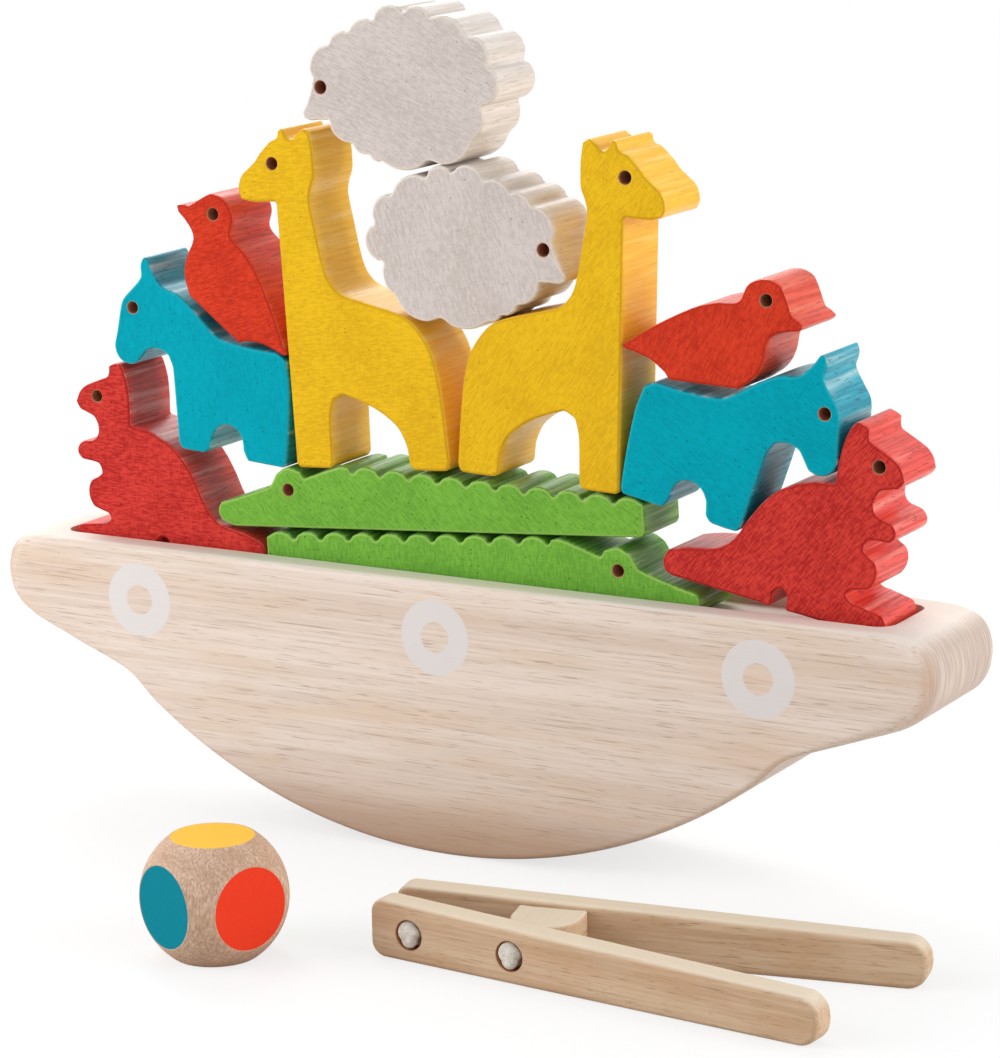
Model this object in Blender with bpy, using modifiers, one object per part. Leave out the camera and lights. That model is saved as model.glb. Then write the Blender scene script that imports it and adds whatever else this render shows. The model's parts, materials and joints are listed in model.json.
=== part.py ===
"""Balancing boat game: a rocking boat, a stack of animal blocks, a die and a pair of tongs.

Metres, +Z up. The origin is on the table, under the middle of the boat's keel. +X runs along
the boat and the player sits at -Y. Every animal block is a flat outline cut from one board.
"""
import math

import bmesh
import bpy
from mathutils import Vector

# Animal blocks: their outlines are drawn on a grid of this spacing, facing +X
GRID = 0.001
BOARD_THICKNESS = 0.0202
EYE_DIAMETER = 0.0035
SEAT_GAP = 0.0003

# Boat
RIM_HEIGHT = 0.0751
BOW_LENGTH = 0.0397
BOW_DROP = 0.0355
BOAT_EDGE_ROUND = 0.0020
TRAY_DEPTH = 0.0050
TRAY_CORNER = 0.0050
TRAY_SIDE_WALL = 0.0080
TRAY_END_WALL = 0.0154
TRAY_SIDE_CLEARANCE = 0.0029
TRAY_END_CLEARANCE = 0.0016

# Die: a cube with its corners turned away, so that a round flat is left on each face
DIE_SIZE = 0.0305
DIE_FLAT_DIAMETER = 0.0216
DIE_ALONG_BOAT = -0.0095
DIE_FROM_KEEL = 0.1151
DIE_TURN = math.radians(-21.1)

# Tongs, lying on edge on the table: two arms, a round-nosed spacer and two elastic cords
FRONT_ARM_LENGTH = 0.1268
BACK_ARM_LENGTH = 0.1352
ARM_THICKNESS = 0.0072
ARM_REAR_HEIGHT = 0.0152
ARM_TIP_HEIGHT = 0.0122
ARM_REAR_CORNER = 0.0040
ARM_TIP_FLAT = 0.0012
TONGS_ALONG_BOAT = 0.0683
TONGS_FROM_KEEL = 0.0860
FRONT_ARM_TURN = math.radians(-4.6)
BACK_ARM_TURN = math.radians(11.4)
PIVOT_FROM_REAR = 0.0416
REAR_CORD_FROM_REAR = 0.0118
SPACER_RADIUS = 0.0088
SPACER_DEPTH = 0.0062
SPACER_HEIGHT = 0.0116
SPACER_LIFT = 0.0014
CORD_DIAMETER = 0.0026
CORD_CLEARANCE = 0.0005
KNOT_DIAMETER = 0.0066
KNOT_LENGTH = 0.0056
KNOT_CLEARANCE = 0.0005
KNOT_SINK = 0.0034

# Fineness of the round stretches
TURN_PER_STEP = math.radians(24)
FILLET_STEPS = 4
EDGE_STEPS = 2
EYE_SIDES = 12
HOLE_SIDES = 16
BELLY_FACETS = 17
DIE_SIDES = 32
KNOT_RINGS = 7

# Edges of the boat sharper than this get rounded
SHARP_EDGE = math.radians(40)
WELD_DISTANCE = 0.00001
FLAT_WITHIN = math.radians(0.5)
CORNER = "corner"
# A cubic whose handles are this share of its chord follows a quarter circle closely
HANDLE_SHARE = 0.39

for old in list(bpy.data.objects):
    bpy.data.objects.remove(old, do_unlink=True)


def collection(name):
    """A new collection in the scene."""
    group = bpy.data.collections.new(name)
    bpy.context.scene.collection.children.link(group)
    return group


PARTS = collection("balancing_boat_game")
CUTTERS = collection("cutters")


def finish(name, red, green, blue, roughness):
    """A stained or plain wooden surface: one Principled material."""
    material = bpy.data.materials.new(name)
    material.use_nodes = True
    shader = material.node_tree.nodes["Principled BSDF"]
    shader.inputs["Base Color"].default_value = (red, green, blue, 1.0)
    shader.inputs["Roughness"].default_value = roughness
    shader.inputs["Metallic"].default_value = 0.0
    return material


FINISHES = {
    "kangaroo": finish("crimson_stain", 0.480, 0.030, 0.028, 0.55),
    "crocodile": finish("green_stain", 0.150, 0.450, 0.050, 0.55),
    "giraffe": finish("yellow_stain", 0.800, 0.470, 0.013, 0.55),
    "donkey": finish("turquoise_stain", 0.000, 0.350, 0.450, 0.55),
    "bird": finish("orange_red_stain", 0.690, 0.042, 0.020, 0.55),
    "sheep": finish("grey_white_stain", 0.670, 0.590, 0.550, 0.60),
    "boat": finish("boat_rubberwood", 0.730, 0.560, 0.420, 0.60),
    "die": finish("die_wood", 0.620, 0.480, 0.370, 0.60),
    "tongs": finish("tongs_wood", 0.480, 0.330, 0.210, 0.60),
    "cord": finish("elastic_cord", 0.620, 0.610, 0.570, 0.85),
}


# Outlines are walked anticlockwise


def is_corner(point):
    """True for a point where the outline turns sharply."""
    return len(point) > 2


def heading(before, point, after):
    """Direction of a smooth outline at a point: half way between its two chords."""
    into = (Vector(point[:2]) - Vector(before[:2])).normalized()
    out = (Vector(after[:2]) - Vector(point[:2])).normalized()
    return (into + out).normalized()


def smooth_loop(points):
    """Closed outline through the points, rounded everywhere but at the marked corners."""
    count = len(points)
    loop = []
    for index, here in enumerate(points):
        before = points[index - 1]
        there = points[(index + 1) % count]
        after = points[(index + 2) % count]
        start = Vector(here[:2])
        end = Vector(there[:2])
        loop.append(start)
        if is_corner(here) and is_corner(there):
            continue
        chord = end - start
        leave = chord.normalized() if is_corner(here) else heading(before, here, there)
        arrive = chord.normalized() if is_corner(there) else heading(here, there, after)
        steps = max(1, round((leave.angle(chord) + arrive.angle(chord)) / TURN_PER_STEP))
        handle = HANDLE_SHARE * chord.length
        first = start + leave * handle
        second = end - arrive * handle
        for step in range(1, steps):
            late = step / steps
            early = 1.0 - late
            near = start * early**3 + first * (3 * early * early * late)
            far = second * (3 * early * late * late) + end * late**3
            loop.append(near + far)
    return loop


def scallop(start, end, rise):
    """Corner points of a round bulge from start towards end, standing out by rise."""
    start = Vector(start)
    end = Vector(end)
    half = (end - start).length / 2
    radius = (half * half + rise * rise) / (2 * rise)
    along = (end - start).normalized()
    outward = Vector((along.y, -along.x))
    centre = (start + end) / 2 - outward * (radius - rise)
    sweep = 2 * math.atan2(rise, half)
    steps = max(2, math.ceil(2 * sweep / TURN_PER_STEP))
    points = []
    for step in range(steps):
        angle = sweep * (2 * step / steps - 1)
        place = centre + along * (radius * math.sin(angle)) + outward * (radius * math.cos(angle))
        points.append((place.x, place.y, CORNER))
    return points


def filleted(corners):
    """Outline through corners given as x, y and the radius that rounds them."""
    count = len(corners)
    loop = []
    for index, (x, y, radius) in enumerate(corners):
        corner = Vector((x, y))
        back = (Vector(corners[index - 1][:2]) - corner).normalized()
        ahead = (Vector(corners[(index + 1) % count][:2]) - corner).normalized()
        if radius == 0:
            loop.append(corner)
            continue
        half_angle = back.angle(ahead) / 2
        centre = corner + (back + ahead).normalized() * (radius / math.sin(half_angle))
        start = corner + back * (radius / math.tan(half_angle)) - centre
        end = corner + ahead * (radius / math.tan(half_angle)) - centre
        sweep = start.angle_signed(end)
        for step in range(FILLET_STEPS + 1):
            angle = -sweep * step / FILLET_STEPS
            turned = Vector((start.x * math.cos(angle) - start.y * math.sin(angle),
                             start.x * math.sin(angle) + start.y * math.cos(angle)))
            loop.append(centre + turned)
    return loop


def circle(centre, diameter, sides):
    """Points of a circle."""
    points = []
    for side in range(sides):
        angle = 2 * math.pi * (side + 0.5) / sides
        points.append(Vector(centre) + Vector((math.cos(angle), math.sin(angle))) * diameter / 2)
    return points


# Making and cutting pieces


def flat_outline(name, loops, thickness):
    """A board with the first loop as its outline and the other loops as holes through it."""
    curve = bpy.data.curves.new(name, "CURVE")
    curve.dimensions = "2D"
    curve.fill_mode = "BOTH"
    curve.extrude = thickness / 2
    for loop in loops:
        spline = curve.splines.new("POLY")
        spline.points.add(len(loop) - 1)
        spline.use_cyclic_u = True
        for point, place in zip(spline.points, loop):
            point.co = (place[0], place[1], 0.0, 1.0)
    return bpy.data.objects.new(name, curve)


def welded(board):
    """The same board as one closed mesh, ready to be cut or to have its edges rounded."""
    name = board.name
    PARTS.objects.link(board)
    bpy.context.view_layer.update()
    graph = bpy.context.evaluated_depsgraph_get()
    mesh = bpy.data.meshes.new_from_object(board.evaluated_get(graph))
    shape = bmesh.new()
    shape.from_mesh(mesh)
    bmesh.ops.remove_doubles(shape, verts=shape.verts, dist=WELD_DISTANCE)
    bmesh.ops.dissolve_limit(shape, angle_limit=FLAT_WITHIN, verts=shape.verts, edges=shape.edges)
    shape.to_mesh(mesh)
    shape.free()
    solid = bpy.data.objects.new(name + "_solid", mesh)
    solid.matrix_world = board.matrix_world
    bpy.data.objects.remove(board, do_unlink=True)
    solid.name = name
    return solid


def add_part(piece, material, carrier=None):
    """Put a piece in the game, held by the empty that it moves with."""
    piece.data.materials.clear()
    piece.data.materials.append(material)
    PARTS.objects.link(piece)
    if carrier:
        bpy.context.view_layer.update()
        piece.parent = carrier
        piece.matrix_parent_inverse = carrier.matrix_world.inverted()
    return piece


def joint_empty(name, place):
    """An empty on a joint's axis."""
    empty = bpy.data.objects.new(name, None)
    empty.location = place
    PARTS.objects.link(empty)
    return empty


def use_cutter(piece, cutter, operation="DIFFERENCE"):
    """Shape a piece with a cutter, which stays out of sight."""
    cutter.hide_render = True
    cutter.display_type = "WIRE"
    CUTTERS.objects.link(cutter)
    boolean = piece.modifiers.new(cutter.name, "BOOLEAN")
    boolean.operation = operation
    boolean.object = cutter


def rod_cutter(name, start, end, diameter):
    """A round cutter from start to end."""
    start = Vector(start)
    end = Vector(end)
    mesh = bpy.data.meshes.new(name)
    shape = bmesh.new()
    bmesh.ops.create_cone(shape, cap_ends=True, segments=HOLE_SIDES, radius1=diameter / 2,
                          radius2=diameter / 2, depth=(end - start).length)
    shape.to_mesh(mesh)
    shape.free()
    cutter = bpy.data.objects.new(name, mesh)
    cutter.rotation_euler = (end - start).to_track_quat("Z", "Y").to_euler()
    cutter.location = (start + end) / 2
    return cutter


# Outlines of the blocks, in grid steps, facing +X


def kangaroo_outline():
    """Kangaroo standing on its foot and its tail, with a notch between the two."""
    return [
        (27.3, 0.2), (28.8, 3.0), (26.6, 6.3), (21.0, 7.1), (16.8, 8.5), (17.8, 10.3), (21.8, 11.5),
        (23.9, 15.2), (22.8, 19.2), (19.4, 21.3), (20.4, 24.3), (25.3, 25.0), (27.2, 27.5), (25.2, 30.2),
        (21.4, 31.0), (19.8, 34.2), (21.7, 37.8), (25.2, 39.1), (26.8, 41.9), (23.0, 46.5), (17.6, 48.6),
        (15.9, 49.6, CORNER), (15.3, 52.0), (13.4, 53.1), (11.5, 53.0), (10.2, 51.2), (8.9, 46.6),
        (8.5, 41.0), (8.6, 36.0, CORNER), (2.8, 35.0), (-4.0, 31.9), (-9.1, 27.3), (-13.0, 21.1),
        (-16.3, 14.6), (-21.0, 10.6), (-28.0, 8.8), (-33.2, 7.0), (-35.0, 3.6), (-33.4, 0.5),
        (-31.0, 0.0, CORNER), (-3.2, 0.0, CORNER), (-3.0, 3.4), (-1.1, 5.1), (0.8, 3.4),
        (1.0, 0.0, CORNER), (25.5, 0.0, CORNER),
    ]


def crocodile_outline():
    """Crocodile lying on its belly, tail at zero: a row of scales climbs along its back."""
    scales = 10
    scale_length = 8.8
    scale_rise = 2.0
    tail_height = 8.3
    back_slope = 0.083
    outline = [
        (2.2, 0.0, CORNER), (127.0, 0.0, CORNER), (131.2, 1.3), (132.8, 4.3), (131.2, 6.9), (126.5, 8.1),
        (119.5, 10.1), (115.3, 11.5), (114.0, 13.0), (112.3, 15.2), (108.8, 16.8), (105.0, 15.7),
        (103.4, 14.0, CORNER), (97.0, 16.0), (92.0, 17.3), (89.3, 16.9),
    ]
    for scale in range(scales, 0, -1):
        front = scale * scale_length
        rear = front - scale_length
        start = (front, tail_height + back_slope * front)
        end = (rear, tail_height + back_slope * rear)
        outline += scallop(start, end, scale_rise)
    return outline + [(0.0, tail_height, CORNER), (0.0, 2.4, CORNER), (0.6, 0.6)]


def giraffe_outline():
    """Giraffe with a straight front from foot to chin, at zero, and an arch between its legs."""
    return [
        (0.0, 1.6), (0.0, 4.0, CORNER), (-0.5, 72.4, CORNER), (6.5, 72.4), (10.0, 73.2), (11.3, 76.0),
        (9.3, 80.3), (5.7, 83.0), (3.4, 85.6), (0.2, 88.4), (-2.1, 89.4), (-3.0, 91.2), (-4.4, 91.8),
        (-5.4, 90.2), (-7.0, 89.0), (-8.8, 90.4), (-10.8, 91.6), (-13.0, 90.2), (-13.6, 86.0),
        (-13.5, 79.5), (-12.0, 75.5), (-11.4, 72.0), (-12.2, 66.5), (-14.2, 54.4), (-17.6, 48.3),
        (-24.0, 45.7), (-36.0, 42.2), (-42.0, 37.6), (-46.0, 30.0), (-47.6, 19.0), (-48.4, 3.0),
        (-46.6, 0.0, CORNER), (-38.0, 0.0, CORNER), (-35.8, 1.6), (-35.1, 7.0), (-32.0, 12.4),
        (-25.4, 16.9), (-17.4, 20.0), (-13.4, 17.9), (-12.3, 13.0), (-11.9, 2.0), (-10.3, 0.0, CORNER),
        (-1.6, 0.0, CORNER),
    ]


def donkey_outline():
    """Donkey with its feet level, a dipped back and one ear."""
    return [
        (30.6, 51.6), (31.9, 49.0), (31.9, 45.6), (34.9, 42.0), (37.6, 38.6), (38.5, 34.0), (39.0, 30.2),
        (39.7, 26.4), (38.5, 22.7), (35.2, 21.1), (32.0, 22.0), (29.2, 25.5), (25.5, 26.7), (21.6, 25.0),
        (20.1, 21.5), (19.0, 13.8), (17.5, 2.4), (15.6, 0.0, CORNER), (9.4, 0.0, CORNER), (7.3, 1.3),
        (6.2, 5.6), (2.2, 8.9), (-2.6, 7.0), (-4.0, 2.2), (-6.0, 0.0, CORNER), (-16.4, 0.0, CORNER),
        (-18.0, 2.2), (-18.3, 11.0), (-18.1, 22.0), (-16.8, 29.0), (-13.0, 31.5), (-4.2, 31.6),
        (4.4, 32.6), (9.2, 35.4), (14.2, 39.6), (19.5, 43.0), (24.4, 44.4, CORNER), (27.4, 47.6),
        (29.3, 51.0),
    ]


def bird_outline():
    """Bird sitting on a flat belly, with a pointed tail and beak."""
    return [
        (-23.8, 7.4), (-21.6, 6.3), (-16.2, 4.7), (-12.1, 2.0), (-9.8, 0.0, CORNER), (7.5, 0.0, CORNER),
        (9.6, 0.2), (13.9, 3.6), (16.2, 8.0), (17.2, 13.2), (20.2, 15.6), (25.2, 16.7), (26.4, 18.2),
        (23.6, 20.4), (22.4, 23.2), (20.6, 27.0), (15.6, 29.0), (10.4, 26.5), (8.0, 22.3, CORNER),
        (2.0, 21.5), (-4.8, 19.2), (-14.6, 13.9), (-22.8, 8.4),
    ]


def sheep_outline():
    """Sheep as a ring of woolly curls with a wedge of a face: its middle is at zero."""
    # Where each curl starts, and how far it stands out, from the forehead over the back to the throat
    curls = [
        (28.0, 3.0, 3.0), (22.3, 12.6, 1.3), (15.8, 15.8, 1.4), (8.0, 18.6, 2.7), (-1.6, 20.2, 2.2),
        (-9.7, 18.4, 2.4), (-20.2, 13.3, 2.8), (-25.8, 5.2, 4.2), (-23.0, -4.8, 1.8), (-19.8, -13.8, 3.2),
        (-5.8, -18.9, 2.4), (8.4, -18.8, 0.7), (12.5, -16.9, 0.9), (17.5, -13.9, 1.7),
    ]
    throat = (24.3, -7.4)
    outline = []
    for index, (x, y, rise) in enumerate(curls):
        end = curls[index + 1][:2] if index + 1 < len(curls) else throat
        outline += scallop((x, y), end, rise)
    face = [(29.2, -7.4), (31.3, -6.7), (31.7, -5.0), (30.0, -1.8)]
    return outline + [(*throat, CORNER)] + face


# Each kind of block: its outline and the place of its drilled eye
BLOCKS = {
    "kangaroo": (kangaroo_outline(), (19.6, 43.5)),
    "crocodile": (crocodile_outline(), (109.0, 10.6)),
    "giraffe": (giraffe_outline(), (-0.4, 82.7)),
    "donkey": (donkey_outline(), (33.8, 37.2)),
    "bird": (bird_outline(), (16.2, 23.6)),
    "sheep": (sheep_outline(), (25.5, 1.3)),
}

# The stack: kind, name, facing (1 is +X), place along the boat and above the tray, tilt in degrees
STACK = [
    ("kangaroo", "kangaroo_left", -1, -95.75, 0.3, 0.0),
    ("kangaroo", "kangaroo_right", 1, 95.55, 5.7, -10.0),
    ("crocodile", "crocodile_lower", 1, -60.35, 0.3, 0.0),
    ("crocodile", "crocodile_upper", -1, 56.75, 20.4, 4.25),
    ("giraffe", "giraffe_left", -1, -49.75, 29.4, 3.9),
    ("giraffe", "giraffe_right", 1, 49.05, 31.1, -2.1),
    ("donkey", "donkey_left", -1, -71.15, 30.1, -4.3),
    ("donkey", "donkey_right", 1, 66.65, 28.0, -12.0),
    ("bird", "bird_left", -1, -75.85, 68.6, -37.2),
    ("bird", "bird_right", 1, 74.05, 62.05, -2.5),
    ("sheep", "sheep_lower", 1, 2.15, 92.45, 0.0),
    ("sheep", "sheep_upper", -1, -13.45, 133.45, 4.0),
]

TRAY_FLOOR = RIM_HEIGHT - TRAY_DEPTH
TRAY_WIDTH = BOARD_THICKNESS + 2 * TRAY_SIDE_CLEARANCE
BOAT_WIDTH = TRAY_WIDTH + 2 * TRAY_SIDE_WALL


def placed_outline(kind, facing, along, above, tilt):
    """A block's outline as it lies in the stack: X, and height above the tray's floor."""
    turn = math.radians(tilt)
    loop = []
    for point in smooth_loop(BLOCKS[kind][0]):
        across = point.x * facing
        loop.append(Vector((along + across * math.cos(turn) - point.y * math.sin(turn),
                            above + across * math.sin(turn) + point.y * math.cos(turn))) * GRID)
    return loop


def tray_half_length():
    """Half the tray: the farthest toe in it, a clearance and what the round corners take."""
    farthest = 0.0
    for kind, _, facing, along, above, tilt in STACK:
        for point in placed_outline(kind, facing, along, above, tilt):
            if point.y < TRAY_DEPTH:
                farthest = max(farthest, abs(point.x))
    bite = 0.0
    side_step = TRAY_CORNER - TRAY_SIDE_CLEARANCE
    if side_step > 0:
        bite = TRAY_CORNER - math.sqrt(TRAY_CORNER**2 - side_step**2)
    return farthest + TRAY_END_CLEARANCE + bite


TRAY_HALF_LENGTH = tray_half_length()
BOAT_HALF_LENGTH = TRAY_HALF_LENGTH + TRAY_END_WALL
# The belly is an arc from the table up to the bows
BELLY_RISE = RIM_HEIGHT - BOW_DROP
BELLY_REACH = BOAT_HALF_LENGTH - BOW_LENGTH
BELLY_RADIUS = (BELLY_REACH**2 + BELLY_RISE**2) / (2 * BELLY_RISE)

# The bow from below to the rim, in grid steps inward from its tip and down from the rim
BOW_BELOW = [(21.1, 28.7), (10.9, 25.2), (4.6, 21.6), (1.2, 17.2), (0.0, 12.0)]
BOW_ABOVE = [(0.3, 8.0), (1.7, 4.4), (4.4, 1.8), (8.2, 0.5), (13.0, 0.0, CORNER)]
BOW = BOW_BELOW + BOW_ABOVE


def boat_outline():
    """Side view of the hull: round belly, then overhanging bows up to a straight rim."""
    half_sweep = math.asin(BELLY_REACH / BELLY_RADIUS)
    facet = 2 * half_sweep / BELLY_FACETS
    # The facets touch the arc at their middles, so that the middle one lies flat on the table
    reach = BELLY_RADIUS / math.cos(facet / 2)
    belly = []
    for step in range(BELLY_FACETS + 1):
        angle = facet * step - half_sweep
        belly.append((reach * math.sin(angle), BELLY_RADIUS - reach * math.cos(angle), CORNER))
    bow = [(BOAT_HALF_LENGTH - point[0] * GRID, RIM_HEIGHT - point[1] * GRID, *point[2:]) for point in BOW]
    stern = [(-point[0], *point[1:]) for point in reversed(bow)]
    return smooth_loop(belly + bow + stern)


def make_boat(carrier):
    """Hull with flat sides and rounded edges, and a shallow tray along its top."""
    hull = flat_outline("boat_hull", [boat_outline()], BOAT_WIDTH)
    hull.rotation_euler = (math.pi / 2, 0.0, 0.0)
    hull = welded(hull)
    bevel = hull.modifiers.new("rounded_edges", "BEVEL")
    bevel.width = BOAT_EDGE_ROUND
    bevel.segments = EDGE_STEPS
    bevel.limit_method = "ANGLE"
    bevel.angle_limit = SHARP_EDGE
    corners = []
    for along, across in ((-1, -1), (1, -1), (1, 1), (-1, 1)):
        corners.append((along * TRAY_HALF_LENGTH, across * TRAY_WIDTH / 2, TRAY_CORNER))
    cutter = welded(flat_outline("tray_cutter", [filleted(corners)], 2 * TRAY_DEPTH))
    cutter.location = (0.0, 0.0, RIM_HEIGHT)
    use_cutter(hull, cutter)
    return add_part(hull, FINISHES["boat"], carrier)


def make_block(carrier, kind, name, facing, along, above, tilt):
    """One animal block, standing on edge in the stack."""
    outline, eye = BLOCKS[kind]
    loop = [Vector((point.x * facing, point.y)) * GRID for point in smooth_loop(outline)]
    eye_place = Vector((eye[0] * facing, eye[1])) * GRID
    piece = flat_outline(name, [loop, circle(eye_place, EYE_DIAMETER, EYE_SIDES)], BOARD_THICKNESS)
    piece.location = (along * GRID, 0.0, TRAY_FLOOR + above * GRID)
    piece.rotation_euler = (math.pi / 2, -math.radians(tilt), 0.0)
    return add_part(piece, FINISHES[kind], carrier)


def make_die():
    """Cube cut round by a ball, so that six round flats are left."""
    mesh = bpy.data.meshes.new("die")
    shape = bmesh.new()
    bmesh.ops.create_cube(shape, size=DIE_SIZE)
    shape.to_mesh(mesh)
    shape.free()
    die = bpy.data.objects.new("die", mesh)
    ball_mesh = bpy.data.meshes.new("die_ball")
    ball = bmesh.new()
    radius = math.hypot(DIE_SIZE / 2, DIE_FLAT_DIAMETER / 2)
    bmesh.ops.create_uvsphere(ball, u_segments=DIE_SIDES, v_segments=DIE_SIDES // 2, radius=radius)
    ball.to_mesh(ball_mesh)
    ball.free()
    cutter = bpy.data.objects.new("die_ball", ball_mesh)
    for piece in (die, cutter):
        piece.location = (DIE_ALONG_BOAT, -DIE_FROM_KEEL, DIE_SIZE / 2)
        piece.rotation_euler = (0.0, 0.0, DIE_TURN)
    use_cutter(die, cutter, "INTERSECT")
    return add_part(die, FINISHES["die"])


# Tongs


def direction(turn):
    """The way an arm points on the table, and the way to its left."""
    along = Vector((math.cos(turn), math.sin(turn), 0.0))
    return along, Vector((-along.y, along.x, 0.0))


PIVOT = Vector((TONGS_ALONG_BOAT, -TONGS_FROM_KEEL, 0.0))
# Distances of the arms' inner faces from the pivot
FRONT_INNER = SPACER_RADIUS + SEAT_GAP
BACK_INNER = SPACER_DEPTH + SEAT_GAP
# The cords run through the middle of the spacer, square to each arm
CORD_HEIGHT = SPACER_LIFT + SPACER_HEIGHT / 2
MIDDLE_TURN = (FRONT_ARM_TURN + BACK_ARM_TURN) / 2
CORD_SWING = SPACER_RADIUS * math.sin((BACK_ARM_TURN - FRONT_ARM_TURN) / 2)
CORD_HOLE = CORD_DIAMETER + 2 * CORD_CLEARANCE
SPACER_BORE = CORD_HOLE + 2 * CORD_SWING
KNOT_SEAT = KNOT_DIAMETER + 2 * KNOT_CLEARANCE


def arm_place(turn, side, from_face, along_arm):
    """A point on the cords' height, from_face beyond the pivot to one side of an arm."""
    along, left = direction(turn)
    return PIVOT + along * along_arm + left * (side * from_face) + Vector((0.0, 0.0, CORD_HEIGHT))


def make_arm(name, length, turn, side, inner, carrier):
    """A tapered arm on edge: two cord holes run through it, each with a seat for a knot."""
    tip_corner = (ARM_TIP_HEIGHT - ARM_TIP_FLAT) / 2
    corners = [(0.0, 0.0, ARM_REAR_CORNER), (length, 0.0, tip_corner),
               (length, ARM_TIP_HEIGHT, tip_corner), (0.0, ARM_REAR_HEIGHT, ARM_REAR_CORNER)]
    arm = flat_outline(name, [filleted(corners)], ARM_THICKNESS)
    along, left = direction(turn)
    arm.location = PIVOT - along * PIVOT_FROM_REAR + left * (side * (inner + ARM_THICKNESS / 2))
    arm.rotation_euler = (math.pi / 2, 0.0, turn)
    arm = welded(arm)
    outer = inner + ARM_THICKNESS
    mouth = outer + KNOT_SINK
    bores = (("hole", inner - KNOT_SINK, CORD_HOLE), ("seat", outer - KNOT_SINK, KNOT_SEAT))
    for cord, from_rear in (("rear", REAR_CORD_FROM_REAR), ("pivot", PIVOT_FROM_REAR)):
        for bore, depth, diameter in bores:
            start = arm_place(turn, side, depth, from_rear - PIVOT_FROM_REAR)
            end = arm_place(turn, side, mouth, from_rear - PIVOT_FROM_REAR)
            use_cutter(arm, rod_cutter("_".join((name, cord, bore)), start, end, diameter))
    return add_part(arm, FINISHES["tongs"], carrier)


def make_spacer(carrier):
    """Block on the back arm with a round nose, on which the front arm rolls."""
    nose = []
    for step in range(HOLE_SIDES + 1):
        angle = math.pi + math.pi * step / HOLE_SIDES
        nose.append(Vector((math.cos(angle), math.sin(angle))) * SPACER_RADIUS)
    loop = nose + [Vector((SPACER_RADIUS, SPACER_DEPTH)), Vector((-SPACER_RADIUS, SPACER_DEPTH))]
    spacer = flat_outline("tongs_spacer", [loop], SPACER_HEIGHT)
    spacer.location = PIVOT + Vector((0.0, 0.0, CORD_HEIGHT))
    spacer.rotation_euler = (0.0, 0.0, BACK_ARM_TURN)
    spacer = welded(spacer)
    bore_reach = SPACER_RADIUS + SPACER_DEPTH
    bore_start = arm_place(MIDDLE_TURN, -1, bore_reach, 0.0)
    bore_end = arm_place(MIDDLE_TURN, 1, bore_reach, 0.0)
    use_cutter(spacer, rod_cutter("spacer_bore", bore_start, bore_end, SPACER_BORE))
    return add_part(spacer, FINISHES["tongs"], carrier)


def cord_half(turn, side, inner, along_arm):
    """Route of a cord from inside an arm out to its knot: places, and widths in cord diameters."""
    seat = inner + ARM_THICKNESS - KNOT_SINK
    route = [(arm_place(turn, side, inner, along_arm), 1.0), (arm_place(turn, side, seat, along_arm), 1.0)]
    for ring in range(KNOT_RINGS):
        # The knot stands on the floor of its seat: its width swells and shrinks like half a wave
        swell = math.sin(math.pi * (ring + 0.5) / KNOT_RINGS)
        out = seat + SEAT_GAP + KNOT_LENGTH * ring / (KNOT_RINGS - 1)
        route.append((arm_place(turn, side, out, along_arm), swell * KNOT_DIAMETER / CORD_DIAMETER))
    return route


def make_cord(name, along_arm, middle, carrier):
    """Elastic cord from a knot on the front arm to a knot on the back arm."""
    front = cord_half(FRONT_ARM_TURN, -1, FRONT_INNER, along_arm)
    back = cord_half(BACK_ARM_TURN, 1, BACK_INNER, along_arm)
    route = front[::-1] + middle + back
    curve = bpy.data.curves.new(name, "CURVE")
    curve.dimensions = "3D"
    curve.bevel_depth = CORD_DIAMETER / 2
    curve.bevel_resolution = 2
    curve.use_fill_caps = True
    spline = curve.splines.new("POLY")
    spline.points.add(len(route) - 1)
    for point, (place, width) in zip(spline.points, route):
        point.co = (*place, 1.0)
        point.radius = width
    return add_part(bpy.data.objects.new(name, curve), FINISHES["cord"], carrier)


rocker = joint_empty("boat_rocking_axis", (0.0, 0.0, BELLY_RADIUS))
make_boat(rocker)
for row in STACK:
    make_block(rocker, *row)

make_die()

tongs_body = joint_empty("tongs_body", PIVOT)
tongs_pivot = joint_empty("tongs_pivot", PIVOT)
make_arm("tongs_back_arm", BACK_ARM_LENGTH, BACK_ARM_TURN, 1, BACK_INNER, tongs_body)
make_arm("tongs_front_arm", FRONT_ARM_LENGTH, FRONT_ARM_TURN, -1, FRONT_INNER, tongs_pivot)
make_spacer(tongs_body)
make_cord("tongs_rear_cord", REAR_CORD_FROM_REAR - PIVOT_FROM_REAR, [], tongs_body)
make_cord("tongs_pivot_cord", 0.0, [(PIVOT + Vector((0.0, 0.0, CORD_HEIGHT)), 1.0)], tongs_body)
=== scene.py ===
# %% [markdown]
# # A balancing boat game
# This script dresses a wooden toy: a rocking boat with a stack of animal blocks, a die and a
# pair of tongs. The measured solids come first, as a fixed frame that nothing here may move.
# At the end the box of the dressed toy is printed, so that one can see whether it still fits
# theirs.

# %% The frame
import json
import math

import bmesh
import bpy
from mathutils import Matrix, Vector
from mathutils.geometry import interpolate_bezier

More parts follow.
